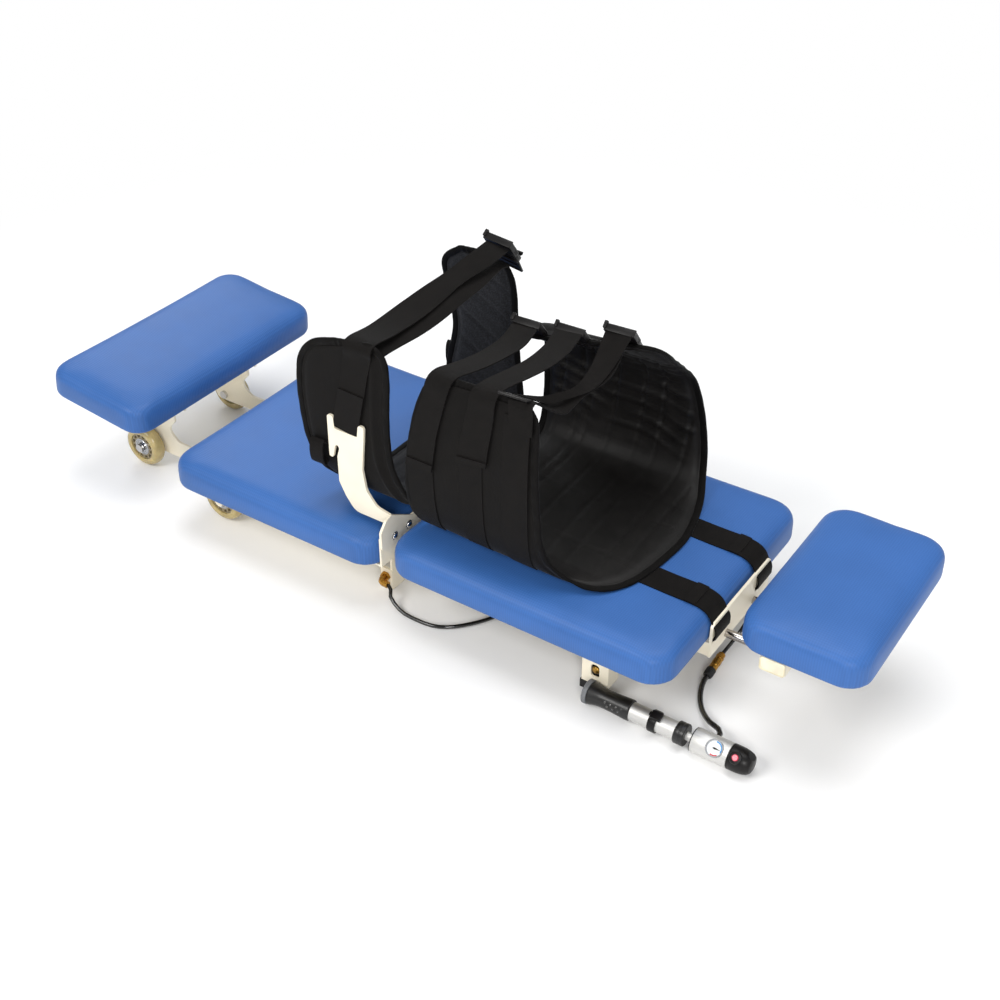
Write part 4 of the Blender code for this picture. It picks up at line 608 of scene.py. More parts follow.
class TABLE_OT_stage(bpy.types.Operator):
    """Add the pale floor, the studio lamps, the white backdrop and the camera"""
    bl_idname = "table.stage"
    bl_label = "Stage"

    def execute(self, context):
        deselect()
        bpy.ops.mesh.primitive_plane_add(size=FLOOR_SIZE, location=(0, 0, -FLOOR_DROP))
        self.staged("floor").data.materials.append(self.floor_paper())
        for name, place, size, power, tint in LAMPS:
            bpy.ops.object.light_add(type="AREA", location=place)
            lamp = self.staged(f"{name}_lamp")
            lamp.data.shape = "DISK"
            lamp.data.size, lamp.data.energy, lamp.data.color = size, power, tint
            lamp.rotation_mode = "QUATERNION"
            lamp.rotation_quaternion = (LAMP_TARGET - Vector(place)).to_track_quat("-Z", "Y")
        bpy.ops.object.camera_add(location=CAMERA_PLACE, rotation=[math.radians(turn) for turn in CAMERA_TURN])
        camera = self.staged("camera")
        camera.data.lens, camera.data.sensor_width = CAMERA_LENS, CAMERA_SENSOR
        context.scene.camera = camera
        context.scene.world = self.backdrop()
        context.scene.view_settings.view_transform = "Standard"
        return {"FINISHED"}

    def staged(self, name):
        """Names the newest object and marks it as stage."""
        made = bpy.context.object
        made.name = name
        return made

    def floor_paper(self):
        """Matt white paper that keeps the table's soft shadow near the table and
        fades to the backdrop's white further out."""
        material, shader = start("backdrop_paper", (0.93, 0.93, 0.93), 0.9, **{"Specular IOR Level": 0.1})
        away = node(material, "ShaderNodeVectorMath", {0: where(material)}, operation="LENGTH").outputs["Value"]
        fade = node(material, "ShaderNodeMapRange", {"Value": away, "From Min": 0.75, "From Max": 1.7},
                    interpolation_type="SMOOTHSTEP").outputs["Result"]
        seen = node(material, "ShaderNodeLightPath").outputs["Is Camera Ray"]
        share = node(material, "ShaderNodeMath", {0: fade, 1: seen}, operation="MULTIPLY").outputs[0]
        white = node(material, "ShaderNodeEmission", {"Color": (1, 1, 1, 1)}).outputs[0]
        both = node(material, "ShaderNodeMixShader", {0: share, 1: shader.outputs[0], 2: white})
        output = material.node_tree.nodes["Material Output"]
        material.node_tree.links.new(output.inputs["Surface"], both.outputs[0])
        return material

    def backdrop(self):
        """Plain white where the camera sees the sky, a softer white elsewhere."""
        world = bpy.data.worlds.new("studio")
        world.use_nodes = True
        world.node_tree.nodes.clear()
        seen = node(world, "ShaderNodeLightPath").outputs["Is Camera Ray"]
        white = node(world, "ShaderNodeBackground", {"Color": (1, 1, 1, 1)}).outputs[0]
        rest = node(world, "ShaderNodeBackground", {"Color": (0.96, 0.98, 1.0, 1), "Strength": 0.42}).outputs[0]
        both = node(world, "ShaderNodeMixShader", {0: seen, 1: rest, 2: white}).outputs[0]
        node(world, "ShaderNodeOutputWorld", {"Surface": both})
        return world


# Air line

LINE_RADIUS, SUPPLY_RADIUS, PUMP_LINE_RADIUS = 0.0030, 0.0028, 0.0040
COUPLING_START, COUPLING_END = Vector((0.4508, -0.0110, 0.0140)), Vector((0.4515, -0.0450, 0.0110))
ALONG = (COUPLING_END - COUPLING_START).normalized()
SLEEVE_END = COUPLING_END + ALONG * 0.0166
OUTLET = Vector((-0.0412, -0.16705, 0.0245))
SIDE_PORT = Vector((0.1553, -0.0258, 0.0525))
TAIL = Vector((0.1636, 0, 0.0525))
HOSE_PORT = Vector((0.52430, -0.1715, 0.0185))
LOOP_ROUTE = ((-28, -180, 18), (-6, -187, 6.5), (18, -188.9, 3.3), (54.5, -186.6, 3.3), (79.4, -174, 3.3),
              (102.7, -148.6, 3.3), (119.7, -121.6, 3.3), (138, -92, 7), (152, -68, 18), (156, -48, 34),
              (155.3, -40, 48))
SUPPLY_ROUTE = ((230, 6, 46), (320, 18, 40), (400, 32, 52), (448, 41, 62), (462, 44, 58), (462, 39, 48),
                (457, 30, 30), (452.5, 12, 18))
PUMP_ROUTE = ((456, -86, 6.5), (464.8, -105.1, 4.3), (479, -125, 6.5), (499, -144, 13), (516, -153, 17.5))
HOSE_STEP = 0.012


def hose_line(first, first_way, between, last, last_way, lead):
    """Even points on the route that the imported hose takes, straight at both ends."""
    inner = [millimetres(*point) for point in between]
    start_lead, end_lead = first + Vector(first_way) * lead, last - Vector(last_way) * lead
    whole = smooth_line([first, start_lead, *inner, end_lead, last], 80)
    return smooth_line(whole, max(14, round(length_of(whole) / HOSE_STEP)))


def hose(name, route, radius, replaces):
    """A round hose along a route."""
    data = bpy.data.curves.new(name, "CURVE")
    data.dimensions = "3D"
    data.bevel_depth = radius
    data.bevel_resolution = 5
    data.use_fill_caps = True
    spline = data.splines.new("POLY")
    spline.points.add(len(route) - 1)
    for point, place in zip(spline.points, route):
        point.co = (*place, 1)
    made = bpy.data.objects.new(name, data)
    bpy.context.scene.collection.objects.link(made)
    finish(made, name, "tube", PELVIS, [replaces])


class TABLE_OT_air_line(bpy.types.Operator):
    """Add the three hoses and the brass coupling between pump and cylinder"""
    bl_idname = "table.air_line"
    bl_label = "Air line"

    def execute(self, context):
        loop = hose_line(OUTLET, FOOTWARD, LOOP_ROUTE, SIDE_PORT, (0, 1, 0), 0.006)
        hose("hose_loop_line", loop, LINE_RADIUS, "hose_loop")
        supply = hose_line(TAIL, FOOTWARD, SUPPLY_ROUTE, COUPLING_START, ALONG, 0.0056)
        coupling, sleeve = self.coupling(), self.sleeve()
        hose("supply_line", supply, SUPPLY_RADIUS, "supply_tube")
        lead = hose_line(SLEEVE_END, ALONG, PUMP_ROUTE, HOSE_PORT, (0, -1, 0), 0.008)
        hose("pump_line", lead, PUMP_LINE_RADIUS, "pump_hose")
        return {"FINISHED"}

    def coupling(self):
        """Quick coupling: a knurled ring, a hexagon, and a ball-lock collar."""
        run = (COUPLING_END - COUPLING_START).length
        body = [(0.0044, 0.0), (0.0056, 0.0008), (0.0056, 0.0035), (0.0046, 0.0042), (0.0046, 0.0095),
                (0.0058, 0.0102), (0.0062, 0.0115), (0.0062, 0.0122), (0.0052, 0.0130), (0.0052, 0.0215),
                (0.0062, 0.0222), (0.0062, 0.0268), (0.0056, 0.0276), (0.0062, 0.0284),
                (0.0062, run - 0.001), (0.0050, run)]
        nut = [(0.0058, 0.0046), (0.0066, 0.0050), (0.0066, 0.0090), (0.0058, 0.0094)]
        ring = [(0.0060, 0.0138), (0.0066, 0.0142), (0.0066, 0.0208), (0.0060, 0.0212)]
        made = merge([turned(stations, COUPLING_START, ALONG, sides)
                      for stations, sides in ((body, 32), (nut, 6), (ring, 28))])
        return finish(smooth(made, 28), "coupling_body", "brass", PELVIS, ["quick_coupling"])

    def sleeve(self):
        """Moulded sleeve with three grip rings, over the hose's end."""
        stations = [(0.0058, 0.0), (0.0070, 0.0006)]
        for k in range(3):
            base = 0.0025 + k * 0.0032
            stations += [(0.0072, base), (0.0066, base + 0.0006), (0.0066, base + 0.0016),
                         (0.0072, base + 0.0022)]
        stations += [(0.0068, 0.0135), (0.0052, 0.0158)]
        made = turned(stations, COUPLING_END + ALONG * 0.0003, ALONG, 32)
        return finish(made, "hose_sleeve", "rubber", PELVIS, ["coupling_sleeve"])


# Upholstery

# Body, length, width, foot end's x, underside's height, tilt, corner radius, swell
PADS = {
    "head": (CHEST, 0.1965, 0.428, -0.503, 0.1505, 6.0, 0.032, 0.010),
    "thorax": (CHEST, 0.408, 0.438, -0.029, 0.090, 0.0, 0.037, 0.003),
    "pelvis": (PELVIS, 0.461, 0.430, 0.457, 0.1003, 0.0, 0.040, 0.004),
    "leg": (LEGS, 0.1748, 0.3088, 0.6984, 0.1747, 0.0, 0.036, 0.004),
}
PAD_THICKNESS = 0.0525
# (inset, height) pairs of a pad's underside and lower edge
UNDERSIDE = ((0.075, 0.0), (0.040, 0.0), (0.016, 0.0), (0.0065, 0.0), (0.0032, 0.0005), (0.0012, 0.0020),
             (0.0004, 0.0045), (0.0, 0.0090), (0.0, 0.0150))
INFLATION = {"use_pressure": True, "uniform_pressure_force": 1.6, "vertex_group_mass": "stapled",
             "tension_stiffness": 25.0, "compression_stiffness": 25.0, "bending_stiffness": 4.0, "quality": 4}
VOXEL, STAPLED_HEIGHT, MOST_SWELL = 0.0055, 0.010, 0.0022


def radial(degrees):
    return Vector((math.cos(math.radians(degrees)), math.sin(math.radians(degrees)), 0))


class TABLE_OT_pads(bpy.types.Operator):
    """Add the four upholstered cushions"""
    bl_idname = "table.pads"
    bl_label = "Cushions"

    def execute(self, context):
        for name, (body, run, width, foot_x, under, tilt, corner, swell) in PADS.items():
            made = self.cushion(run + swell, width + swell, corner)
            made.data.transform(Matrix.Translation((swell / 2, 0, 0)))
            self.inflate(made)
            stand(made, (foot_x, 0, under), (0, tilt, 0), 50)
            finish(made, f"{name}_upholstery", "vinyl", body, [f"{name}_cushion"])
        return {"FINISHED"}

    def profile(self, half):
        """(inset, height) pairs from the underside round the rolled edge and over the crown."""
        roll, crown = sizes().pad_roll, sizes().pad_crown
        edge = PAD_THICKNESS - crown
        pairs = [*UNDERSIDE, (0.0, edge - roll - 0.006)]
        for step in range(15):
            angle = math.radians(6 + step * 6)
            pairs.append((roll * (1 - math.cos(angle)), edge - roll + roll * math.sin(angle)))
        deepest = half - 0.004 - roll
        for step in range(1, 19):
            share = step / 18
            rise = math.sin(math.pi / 2 * min(1, share * 1.25))
            pairs.append((roll + deepest * share, edge + crown * rise))
        return pairs

    def cushion(self, run, width, corner):
        """Rings of a rounded rectangle through the profile, with its foot end at x = 0."""
        loops = []
        for inset, height in self.profile(min(run, width) / 2):
            long, wide = run / 2 - inset, width / 2 - inset
            radius = min(corner, wide * 0.9, long * 0.9)
            arcs = []
            for turn, (way_x, way_y) in enumerate(((1, 1), (-1, 1), (-1, -1), (1, -1))):
                centre = Vector((way_x * (long - radius), way_y * (wide - radius), height))
                arcs.append([centre + radial(turn * 90 + step * 9) * radius for step in range(11)])
            loop = []
            for arc, ahead in zip(arcs, arcs[1:] + arcs[:1]):
                loop += arc + [arc[-1].lerp(ahead[0], step / 16) for step in range(1, 16)]
            loops.append([Vector((point.x - run / 2, point.y, point.z)) for point in loop + [loop[0]]])
        made = mesh_from_grid("cushion", loops)
        pick(made)
        edit_all()
        bpy.ops.mesh.remove_doubles(threshold=WELD)
        bpy.ops.mesh.fill_holes(sides=0)
        bpy.ops.mesh.normals_make_consistent(inside=False)
        mode("OBJECT")
        return made

    def inflate(self, made):
        """A short cloth simulation, so that the vinyl swells over the foam."""
        pick(made)
        made.data.remesh_voxel_size = VOXEL
        bpy.ops.object.voxel_remesh()
        held = made.vertex_groups.new(name="stapled")
        held.add([vert.index for vert in made.data.vertices if vert.co.z < STAPLED_HEIGHT], 1.0, "REPLACE")
        cloth = made.modifiers.new("cloth", "CLOTH")
        cloth.settings.effector_weights.gravity = 0.0
        for setting, value in INFLATION.items():
            setattr(cloth.settings, setting, value)
        before = [vert.co.copy() for vert in made.data.vertices]
        for frame_number in range(1, 13):
            bpy.context.scene.frame_set(frame_number)
        apply_modifiers(made)
        bpy.context.scene.frame_set(1)
        for vert, old in zip(made.data.vertices, before):
            moved = vert.co - old
            if moved.length > MOST_SWELL:
                vert.co = old + moved.normalized() * MOST_SWELL
        modify(made, "SMOOTH", iterations=12, factor=0.5, vertex_group="stapled", invert_vertex_group=True)
        modify(made, "SUBSURF", levels=1)
        apply_modifiers(made)
        made.vertex_groups.clear()


# Padded harness shells

# Rows of (head point, foot point) round each shell, in millimetres
HARNESS_ROWS = (
    ((-112, -167, 426), (-50, -167, 437)), ((-150, -167, 412), (-32, -167, 426)),
    ((-173, -167, 384), (-28, -167, 394)), ((-180, -167, 343), (-31, -167, 347)),
    ((-179, -167, 298), (-32, -167, 298)), ((-172, -167, 250), (-27, -167, 250)),
    ((-158, -165, 218), (-13, -165, 218)), ((-145, -152, 190), (-3, -152, 190)),
    ((-138, -122, 166), (-2, -122, 166)), ((-136, -80, 151), (-4, -80, 151)),
    ((-134, 0, 146.9), (-6, 0, 146.9)), ((-134, 80, 151), (-6, 80, 151)),
    ((-136, 122, 166), (-7, 122, 166)), ((-140, 146, 195), (-10, 146, 195)),
    ((-146, 154, 230), (-17, 154, 230)), ((-134, 156, 292), (-25, 156, 292)),
    ((-136, 155, 335), (-27, 155, 335)), ((-147, 152, 388), (-28, 152, 392)),
    ((-144, 148, 418), (-34, 148, 425)), ((-113, 142, 443), (-48, 142, 448)))
BELT_ROWS = (
    ((66, -172, 431), (214, -171, 436)), ((57, -175, 415), (221, -174, 420)),
    ((42, -178, 375), (224, -178, 375)), ((31, -180, 325), (226, -180, 325)),
    ((24, -180, 275), (229, -179, 275)), ((20, -176, 228), (233, -176, 225)),
    ((22, -166, 190), (246, -168, 190)), ((28, -146, 167), (275, -153, 167)),
    ((34, -112, 158), (312, -132, 159)), ((40, -70, 157.3), (338, -86, 157.3)),
    ((43, 0, 157.3), (350, 6, 157.3)), ((42, 70, 157.3), (345, 60, 157.3)),
    ((40, 118, 160), (329, 118, 161)), ((38, 150, 180), (314, 152, 182)),
    ((36, 164, 225), (306, 165, 228)), ((35, 166, 285), (297, 162, 290)),
    ((38, 158, 333), (286, 150, 343)), ((46, 130, 366), (283, 114, 381)),
    ((58, 88, 388), (287, 72, 415)), ((72, 42, 400), (288, 34, 449)))
ROW_STEPS = 24
EDGE_HALF = 0.0013


class Shell:
    """A padded sheet through rows of (head point, foot point), in millimetres."""

    def __init__(self, rows, centre_z):
        self.head, self.foot = (along_table([millimetres(*row[k]) for row in rows], ROW_STEPS * len(rows))
                                for k in (0, 1))
        self.centre_z = centre_z / 1000
        self.arc = [0.0]
        for k in range(1, len(self.head)):
            step = ((self.head[k] - self.head[k - 1]).length + (self.foot[k] - self.foot[k - 1]).length) / 2
            self.arc.append(self.arc[-1] + step)
        self.total = self.arc[-1]

    def ends(self, arc):
        """The head and foot points at this distance round the shell."""
        arc = min(max(arc, 0.0), self.total)
        low, high = 0, len(self.arc) - 1
        while high - low > 1:
            middle = (low + high) // 2
            low, high = (middle, high) if self.arc[middle] <= arc else (low, middle)
        share = (arc - self.arc[low]) / max(self.arc[high] - self.arc[low], 1e-9)
        return self.head[low].lerp(self.head[high], share), self.foot[low].lerp(self.foot[high], share)

    def at(self, arc, share):
        """The middle surface's point and outward direction."""
        a, b = self.ends(arc)
        point = a.lerp(b, share)
        before, after = self.ends(arc - 0.003), self.ends(arc + 0.003)
        round_way = after[0].lerp(after[1], share) - before[0].lerp(before[1], share)
        out = (b - a).cross(round_way).normalized()
        away = Vector((0, point.y, point.z - self.centre_z))
        return point, out if out.dot(away) > 0 else -out

    def over(self, arc, x, lift, most=math.inf):
        """The point this far over the shell at this x, in metres."""
        a, b = self.ends(arc)
        point, out = self.at(arc, min(most, (x - a.x) / (b.x - a.x)))
        return point + out * lift

    def near_arc(self, height):
        """How far round the near wall reaches down to this height."""
        low, high = 0.0, self.total * 0.45
        for _ in range(30):
            middle = (low + high) / 2
            head, foot = self.ends(middle)
            low, high = (middle, high) if (head.z + foot.z) / 2 > height else (low, middle)
        return low

    def wall_rows(self, rows, lift):
        """Strap stations over the near wall, from pairs of (x, height) in millimetres."""
        return [tuple(self.over(self.near_arc(height / 1000), x / 1000, lift) for x, height in pair)
                for pair in rows]


def shell_grid(shell, spacing, corner, turns=5):
    """Arcs and row insets of a grid whose four corners are rounded."""
    angles = [math.pi / 2 * k / turns for k in range(turns if corner else 1)]
    edge = [(corner * (1 - math.cos(angle)), corner * (1 - math.sin(angle))) for angle in angles]
    count = round((shell.total - 2 * corner) / spacing)
    first = corner or spacing
    between = [(first + (shell.total - 2 * first) * k / count, 0.0) for k in range(count + 1)]
    return edge + between + [(shell.total - arc, inset) for arc, inset in reversed(edge)]


def padded_shell(name, shell, body, skins, columns, spacing, corner, looks, replaces):
    """Builds a shell's two skins, its closed edge and its binding tape. The skins
    are two functions: the outer one's lift and the lining's."""
    outside, puff = skins
    padding = sizes().shell
    outer, inner, rim = [], [], []
    for arc, inset in shell_grid(shell, spacing, corner):
        a, b = shell.ends(arc)
        run = (b - a).length
        out_row, in_row, places = [], [], []
        for c in range(columns + 1):
            share = (inset + (run - 2 * inset) * (c / columns)) / run
            point, out = shell.at(arc, share)
            edge = min(arc, shell.total - arc, share * run, (1 - share) * run)
            edge = max(edge, min(share * run - inset, (1 - share) * run - inset))
            swell = 1 - math.exp(-max(0.0, edge - 0.006) / 0.005)
            half = EDGE_HALF + (padding / 2 - EDGE_HALF) * swell
            out_row.append(point + out * (half + outside(arc, point, edge) * swell))
            in_row.append(point - out * (half + puff(arc, point) * swell))
            places.append((point, out))
        outer.append(out_row)
        inner.append(in_row)
        rim.append(places)
    pieces = [mesh_from_grid(name, outer), mesh_from_grid(f"{name}_lining", inner)]
    for piece, finish_name in zip(pieces, looks):
        piece.data.materials.append(look(finish_name))
    made = merge(pieces)
    pick(made)
    mode("EDIT")
    bpy.ops.mesh.select_mode(type="EDGE")
    bpy.ops.mesh.select_all(action="DESELECT")
    bpy.ops.mesh.select_non_manifold(extend=False, use_wire=False, use_boundary=True,
                                     use_multi_face=False, use_non_contiguous=False, use_verts=False)
    bpy.ops.mesh.bridge_edge_loops()
    bpy.ops.mesh.select_all(action="SELECT")
    bpy.ops.mesh.normals_make_consistent(inside=False)
    mode("OBJECT")
    bpy.ops.object.shade_smooth()
    finish(made, name, None, body, [replaces])
    binding(name.replace("shell", "binding"), boundary(rim), body)


def boundary(rim):
    """The loop of (point, outward direction) round a grid's edge."""
    head, foot = ([row[k] for row in rim[1:-1]] for k in (0, -1))
    return rim[0] + foot + rim[-1][::-1] + head[::-1]


def binding(name, loop, body, thick=0.0024):
    """Tape folded round a shell's edge, with a soft rolled section."""
    wide = sizes().binding
    half = [(-0.0012, 0.0), (-0.0008, 0.7), (0.0003, 1.0), (wide * 0.45, 1.02), (wide - 0.0012, 1.0),
            (wide, 0.55)]
    section = half + [(along, -side) for along, side in reversed(half)]
    rows = []
    for k, (point, out) in enumerate(loop):
        way = (loop[(k + 1) % len(loop)][0] - loop[k - 1][0]).normalized()
        inward = out.cross(way).normalized()
        rows.append([point + inward * along + out * (side * (thick + 0.0004 * math.sin(k * 0.9)))
                     for along, side in section])
    made = mesh_from_grid(name, rows, closed_rows=True)
    settle(made, 60)
    finish(made, name, "binding", body)


def crease(distance, width):
    return math.exp(-(distance / width) ** 2)


def wander(point, arc, across, along, seed):
    """Smooth noise over a shell, between about -1 and 1."""
    return noise.noise(Vector((point.x * across, arc * along, seed)))


BELT_SEAMS = (0.062, 0.098, 0.116, 0.158, 0.206, 0.240, 0.287, 0.316)


def belt_puff(arc, point):
    """Rise of the belt's quilted lining: pads between its seams, with puckers."""
    nearest = min(abs(point.x - seam - 0.010 * math.sin(arc * 9)) for seam in BELT_SEAMS)
    wall = 1 / (1 + math.exp(-(point.z - 0.225) / 0.018)) * (1.0 if point.y > 0 else 0.4)
    wall *= 1 / (1 + math.exp((point.z - 0.400) / 0.012))
    phase = (arc + wander(point, arc, 11, 7, 1.0) * 0.014 + 0.16 * (point.x - 0.19)) / 0.0235
    fold = abs(((phase + 0.5) % 1.0) - 0.5) * 2
    reach = max(0.0, 0.55 + 1.8 * noise.noise(Vector((point.x * 19, round(phase) * 3.7, 3.0))))
    swell = 0.0075 * wall * min(1.0, reach) * crease(fold, 0.22) * (0.6 + 0.4 * crease(nearest, 0.010))
    swell -= (0.0022 * wall + 0.0009) * crease(nearest, 0.0028)
    swell -= (1 - wall) * 0.0007 * crease(abs((arc % 0.052) - 0.026), 0.0018)
    return 0.0008 + swell + 0.0014 * wall * wander(point, arc, 30, 34, 9.0)


def wing_puff(arc, point):
    """Rise of the chest harness's fleece: slanting quilting and soft dents."""
    slant = point.z * 0.86 + point.x * 0.5
    line = (slant / 0.046) % 1.0
    dent = 0.0022 * crease(min(line, 1 - line) * 0.046, 0.0032)
    soft = 0.0016 * wander(point, arc, 16, 14, 2.0)
    fold = abs(math.sin(math.pi * (slant / 0.015 + 1.4 * wander(point, arc, 18, 12, 5.0))))
    return 0.0012 - dent + soft + 0.0009 * (fold - 0.6)


def wing_outside(arc, point, edge):
    """A piped ridge beside the chest harness's edge, and soft unevenness."""
    ridge = 0.0022 * crease(edge - 0.0175, 0.0040) if point.x > -0.075 else 0.0
    return ridge + 0.0011 * wander(point, arc, 14, 12, 4.0)


def belt_outside(arc, point, edge):
    """Soft unevenness of the belt's outer cloth."""
    return 0.0012 * wander(point, arc, 11, 10, 8.0)


BELT_SHELL = Shell(BELT_ROWS, 300)
HARNESS_SHELL = Shell(HARNESS_ROWS, 330)


class TABLE_OT_belt(bpy.types.Operator):
    """Add the quilted pelvic belt with its bound edge"""
    bl_idname = "table.belt"
    bl_label = "Pelvic belt"

    def execute(self, context):
        padded_shell("belt_shell", BELT_SHELL, PELVIS, (belt_outside, belt_puff), 84, 0.0042, 0.024,
                     ("cloth", "quilt"), "pelvic_belt")
        return {"FINISHED"}


class TABLE_OT_harness(bpy.types.Operator):
    """Add the fleece-lined chest harness with its bound edge"""
    bl_idname = "table.harness"
    bl_label = "Chest harness"

    def execute(self, context):
        padded_shell("harness_shell", HARNESS_SHELL, CHEST, (wing_outside, wing_puff), 48, 0.0045, 0.0,
                     ("cloth", "fleece"), "thorax_harness")
        return {"FINISHED"}


# Straps

# Pairs of (x, height) on the near wall, and pairs of points over the body, in millimetres
BELT_WALL = {
    "head": (((21.3, 287.5), (64.8, 289.0)), ((28, 325), (70, 322)), ((36, 360.7), (75, 352)),
             ((45, 392), (82, 383)), ((51.9, 413.3), (87, 404))),
    "middle": (((108.2, 324.1), (156.1, 330.4)), ((112, 350), (158, 352)), ((116.7, 373.9), (162.1, 377.9)),
               ((120, 395), (164, 393)), ((124.2, 413), (165.7, 409))),
    "patch": (((192.9, 399.2), (225.5, 400.3)), ((189, 415), (225, 416)), ((187, 428), (224, 428))),
}
BELT_OVER = {
    "head": (((54.5, -181.5, 427), (93.5, -181.5, 427)), ((58.0, -176, 438.5), (97.5, -176.5, 439.5)),
             ((61.5, -163, 442.5), (102, -163, 443.5)), ((65, -141, 438.5), (106, -141, 440)),
             ((69.5, -108, 433), (111.5, -108, 436.5)), ((73.2, -66, 429.2), (114.7, -66, 432.6)),
             ((72, -24, 428), (112.3, -24, 428)), ((63.5, 18, 430), (104.8, 18, 431))),
    "middle": (((126, -181.5, 429), (167, -181.5, 428)), ((128.5, -176.5, 440), (169, -176.5, 441.5)),
               ((132, -163, 444), (171, -163, 446)), ((137, -136, 443.5), (175.5, -136, 445)),
               ((143, -106, 442), (181.5, -106, 443.7)), ((147, -69, 440.7), (185.2, -69, 441)),
               ((144.2, -24, 440), (183.3, -24, 439.5)), ((135.7, 18, 443), (177.8, 18, 444.5))),
    "foot": (((181.0, -163, 443.0), (200.5, -163, 446)), ((190, -140, 432), (204, -140, 429)),
             ((198, -116, 421.5), (207.5, -116, 412.5)), ((206, -92, 417), (215.7, -92, 409)),
             ((213.7, -69, 414), (224.7, -69, 407.2)), ((214.4, -42, 414.5), (235.4, -42, 408.5)),
             ((214.8, -14, 429), (244.8, -14, 427)), ((214.3, 18, 463.5), (255.6, 18, 467))),
    "patch": (((185, -177, 441), (222, -177, 442)), ((184, -163, 444), (221, -163, 443)),
              ((190, -140, 426), (224, -142, 424)), ((202, -100, 402), (228, -104, 398)),
              ((216, -60, 408), (229, -60, 402)), ((218, -18, 421), (246, -18, 418)),
              ((219, 15, 455), (251, 15, 458))),
}
# Head side's x, foot side's x and top, in millimetres, of the bands down the near wall
BELT_BANDS = {"head": (21, 65, 292), "middle": (111, 148, 332), "foot": (180, 221, 420)}
BAND_FOOT, BAND_STEP = 163, 12
BAND_LIFT, STRAP_LIFT, WING_LIFT, TAB_LIFT = 0.0045, 0.0068, 0.0056, 0.0062
WING_BAND = (((-121, 292), (-76, 286)), ((-114, 325), (-69, 320)), ((-105, 360), (-60, 356)),
             ((-98, 392), (-52, 390)), ((-93, 418), (-44, 418)))
CHEST_UPPER = (((-91, -176, 432.5), (-41.5, -176, 434.5)), ((-89, -165, 443.5), (-41, -165, 444.5)),
               ((-86.1, -120, 442), (-40, -120, 441)), ((-75.5, -68, 454), (-33, -68, 446)),
               ((-64, -25, 466), (-28, -25, 455)), ((-52.7, 15, 476), (-23.1, 15, 466)),
               ((-43, 70, 489), (-12, 70, 475)), ((-43.5, 108, 491), (-5.1, 108, 485)))
CHEST_LOWER = (((-76, -168, 428), (-30, -168, 429)), ((-72, -150, 433), (-29, -150, 430)),
               ((-68, -125, 435), (-28, -125, 429)), ((-60, -85, 443), (-19, -85, 433)),
               ((-51, -45, 453), (-14, -45, 438)), ((-42, -5, 463), (-8, -5, 448)),
               ((-36, 45, 468), (-5, 45, 455)), ((-38, 88, 466), (-6, 88, 462)),
               ((-42, 116, 462), (-6, 116, 458)))
# The pull straps' (x, z) route, and its start doubled over as a hem, in millimetres
PULL_ROUTE = ((330, 155.8), (380, 154.4), (425, 154.4), (444, 152), (456.5, 144.3), (463.5, 131.8),
              (469, 124), (469.5, 110), (468, 105), (464, 104.6), (460, 105))
PULL_HEM = ((416.5, 156.3), (424, 156.3), (434, 155.5))


class TABLE_OT_belt_straps(bpy.types.Operator):
    """Add the belt's webbing: bands sewn to the wall, and the straps over it"""
    bl_idname = "table.belt_straps"
    bl_label = "Belt straps"

    def execute(self, context):
        for name, (low_x, high_x, top) in BELT_BANDS.items():
            rows = [((low_x, height), (high_x, height)) for height in range(top, BAND_FOOT, -BAND_STEP)]
            webbing(f"belt_band_{name}", BELT_SHELL.wall_rows(rows, BAND_LIFT), PELVIS, "webbing", 0.0014)
        for name in ("head", "middle"):
            stations = self.stations(name)
            webbing(f"belt_strap_{name}", stations, PELVIS)
            self.hem(name, stations)
        webbing("belt_strap_foot", self.stations("foot"), PELVIS)
        webbing("belt_patch_foot", self.stations("patch"), PELVIS)
        return {"FINISHED"}

    def stations(self, name):
        return BELT_SHELL.wall_rows(BELT_WALL.get(name, ()), STRAP_LIFT) + free_rows(BELT_OVER[name])

    def hem(self, name, stations):
        """A strap's end folded back on itself, a little wider than the strap."""
        lift = BELT_SHELL.at(BELT_SHELL.near_arc(0.32), 0.3)[1] * 0.0018
        first, ahead = ((a.lerp(b, -0.01), a.lerp(b, 1.01)) for a, b in stations[:2])
        second = [side.lerp(next_side, 0.36) for side, next_side in zip(first, ahead)]
        webbing(f"belt_hem_{name}", [[side + lift for side in pair] for pair in (first, second)], PELVIS,
                "hem", 0.0018)


class TABLE_OT_chest_straps(bpy.types.Operator):
    """Add the chest strap's two layers, the wing's band and the hook loops"""
    bl_idname = "table.chest_straps"
    bl_label = "Chest straps"

    def execute(self, context):
        wing = HARNESS_SHELL.wall_rows(WING_BAND, WING_LIFT)
        webbing("chest_strap_upper", wing + free_rows(CHEST_UPPER), CHEST)
        webbing("chest_strap_lower", free_rows(CHEST_LOWER), CHEST)
        lift = Vector((0, -0.0019, 0))
        webbing("wing_band_fold", [[side + lift for side in pair] for pair in wing[:3]], CHEST, "hem")
        turns = [radial(90 + step * 24) for step in range(16)]
        for side, middle in (("near", -0.1750), ("far", 0.1690)):
            stations = [[Vector((x, middle + 0.0065 * turn.x, 0.2365 + 0.0215 * turn.y))
                         for x in (-0.1640, -0.1390)] for turn in turns]
            webbing(f"hook_loop_{side}", stations, CHEST, "hem")
        return {"FINISHED"}


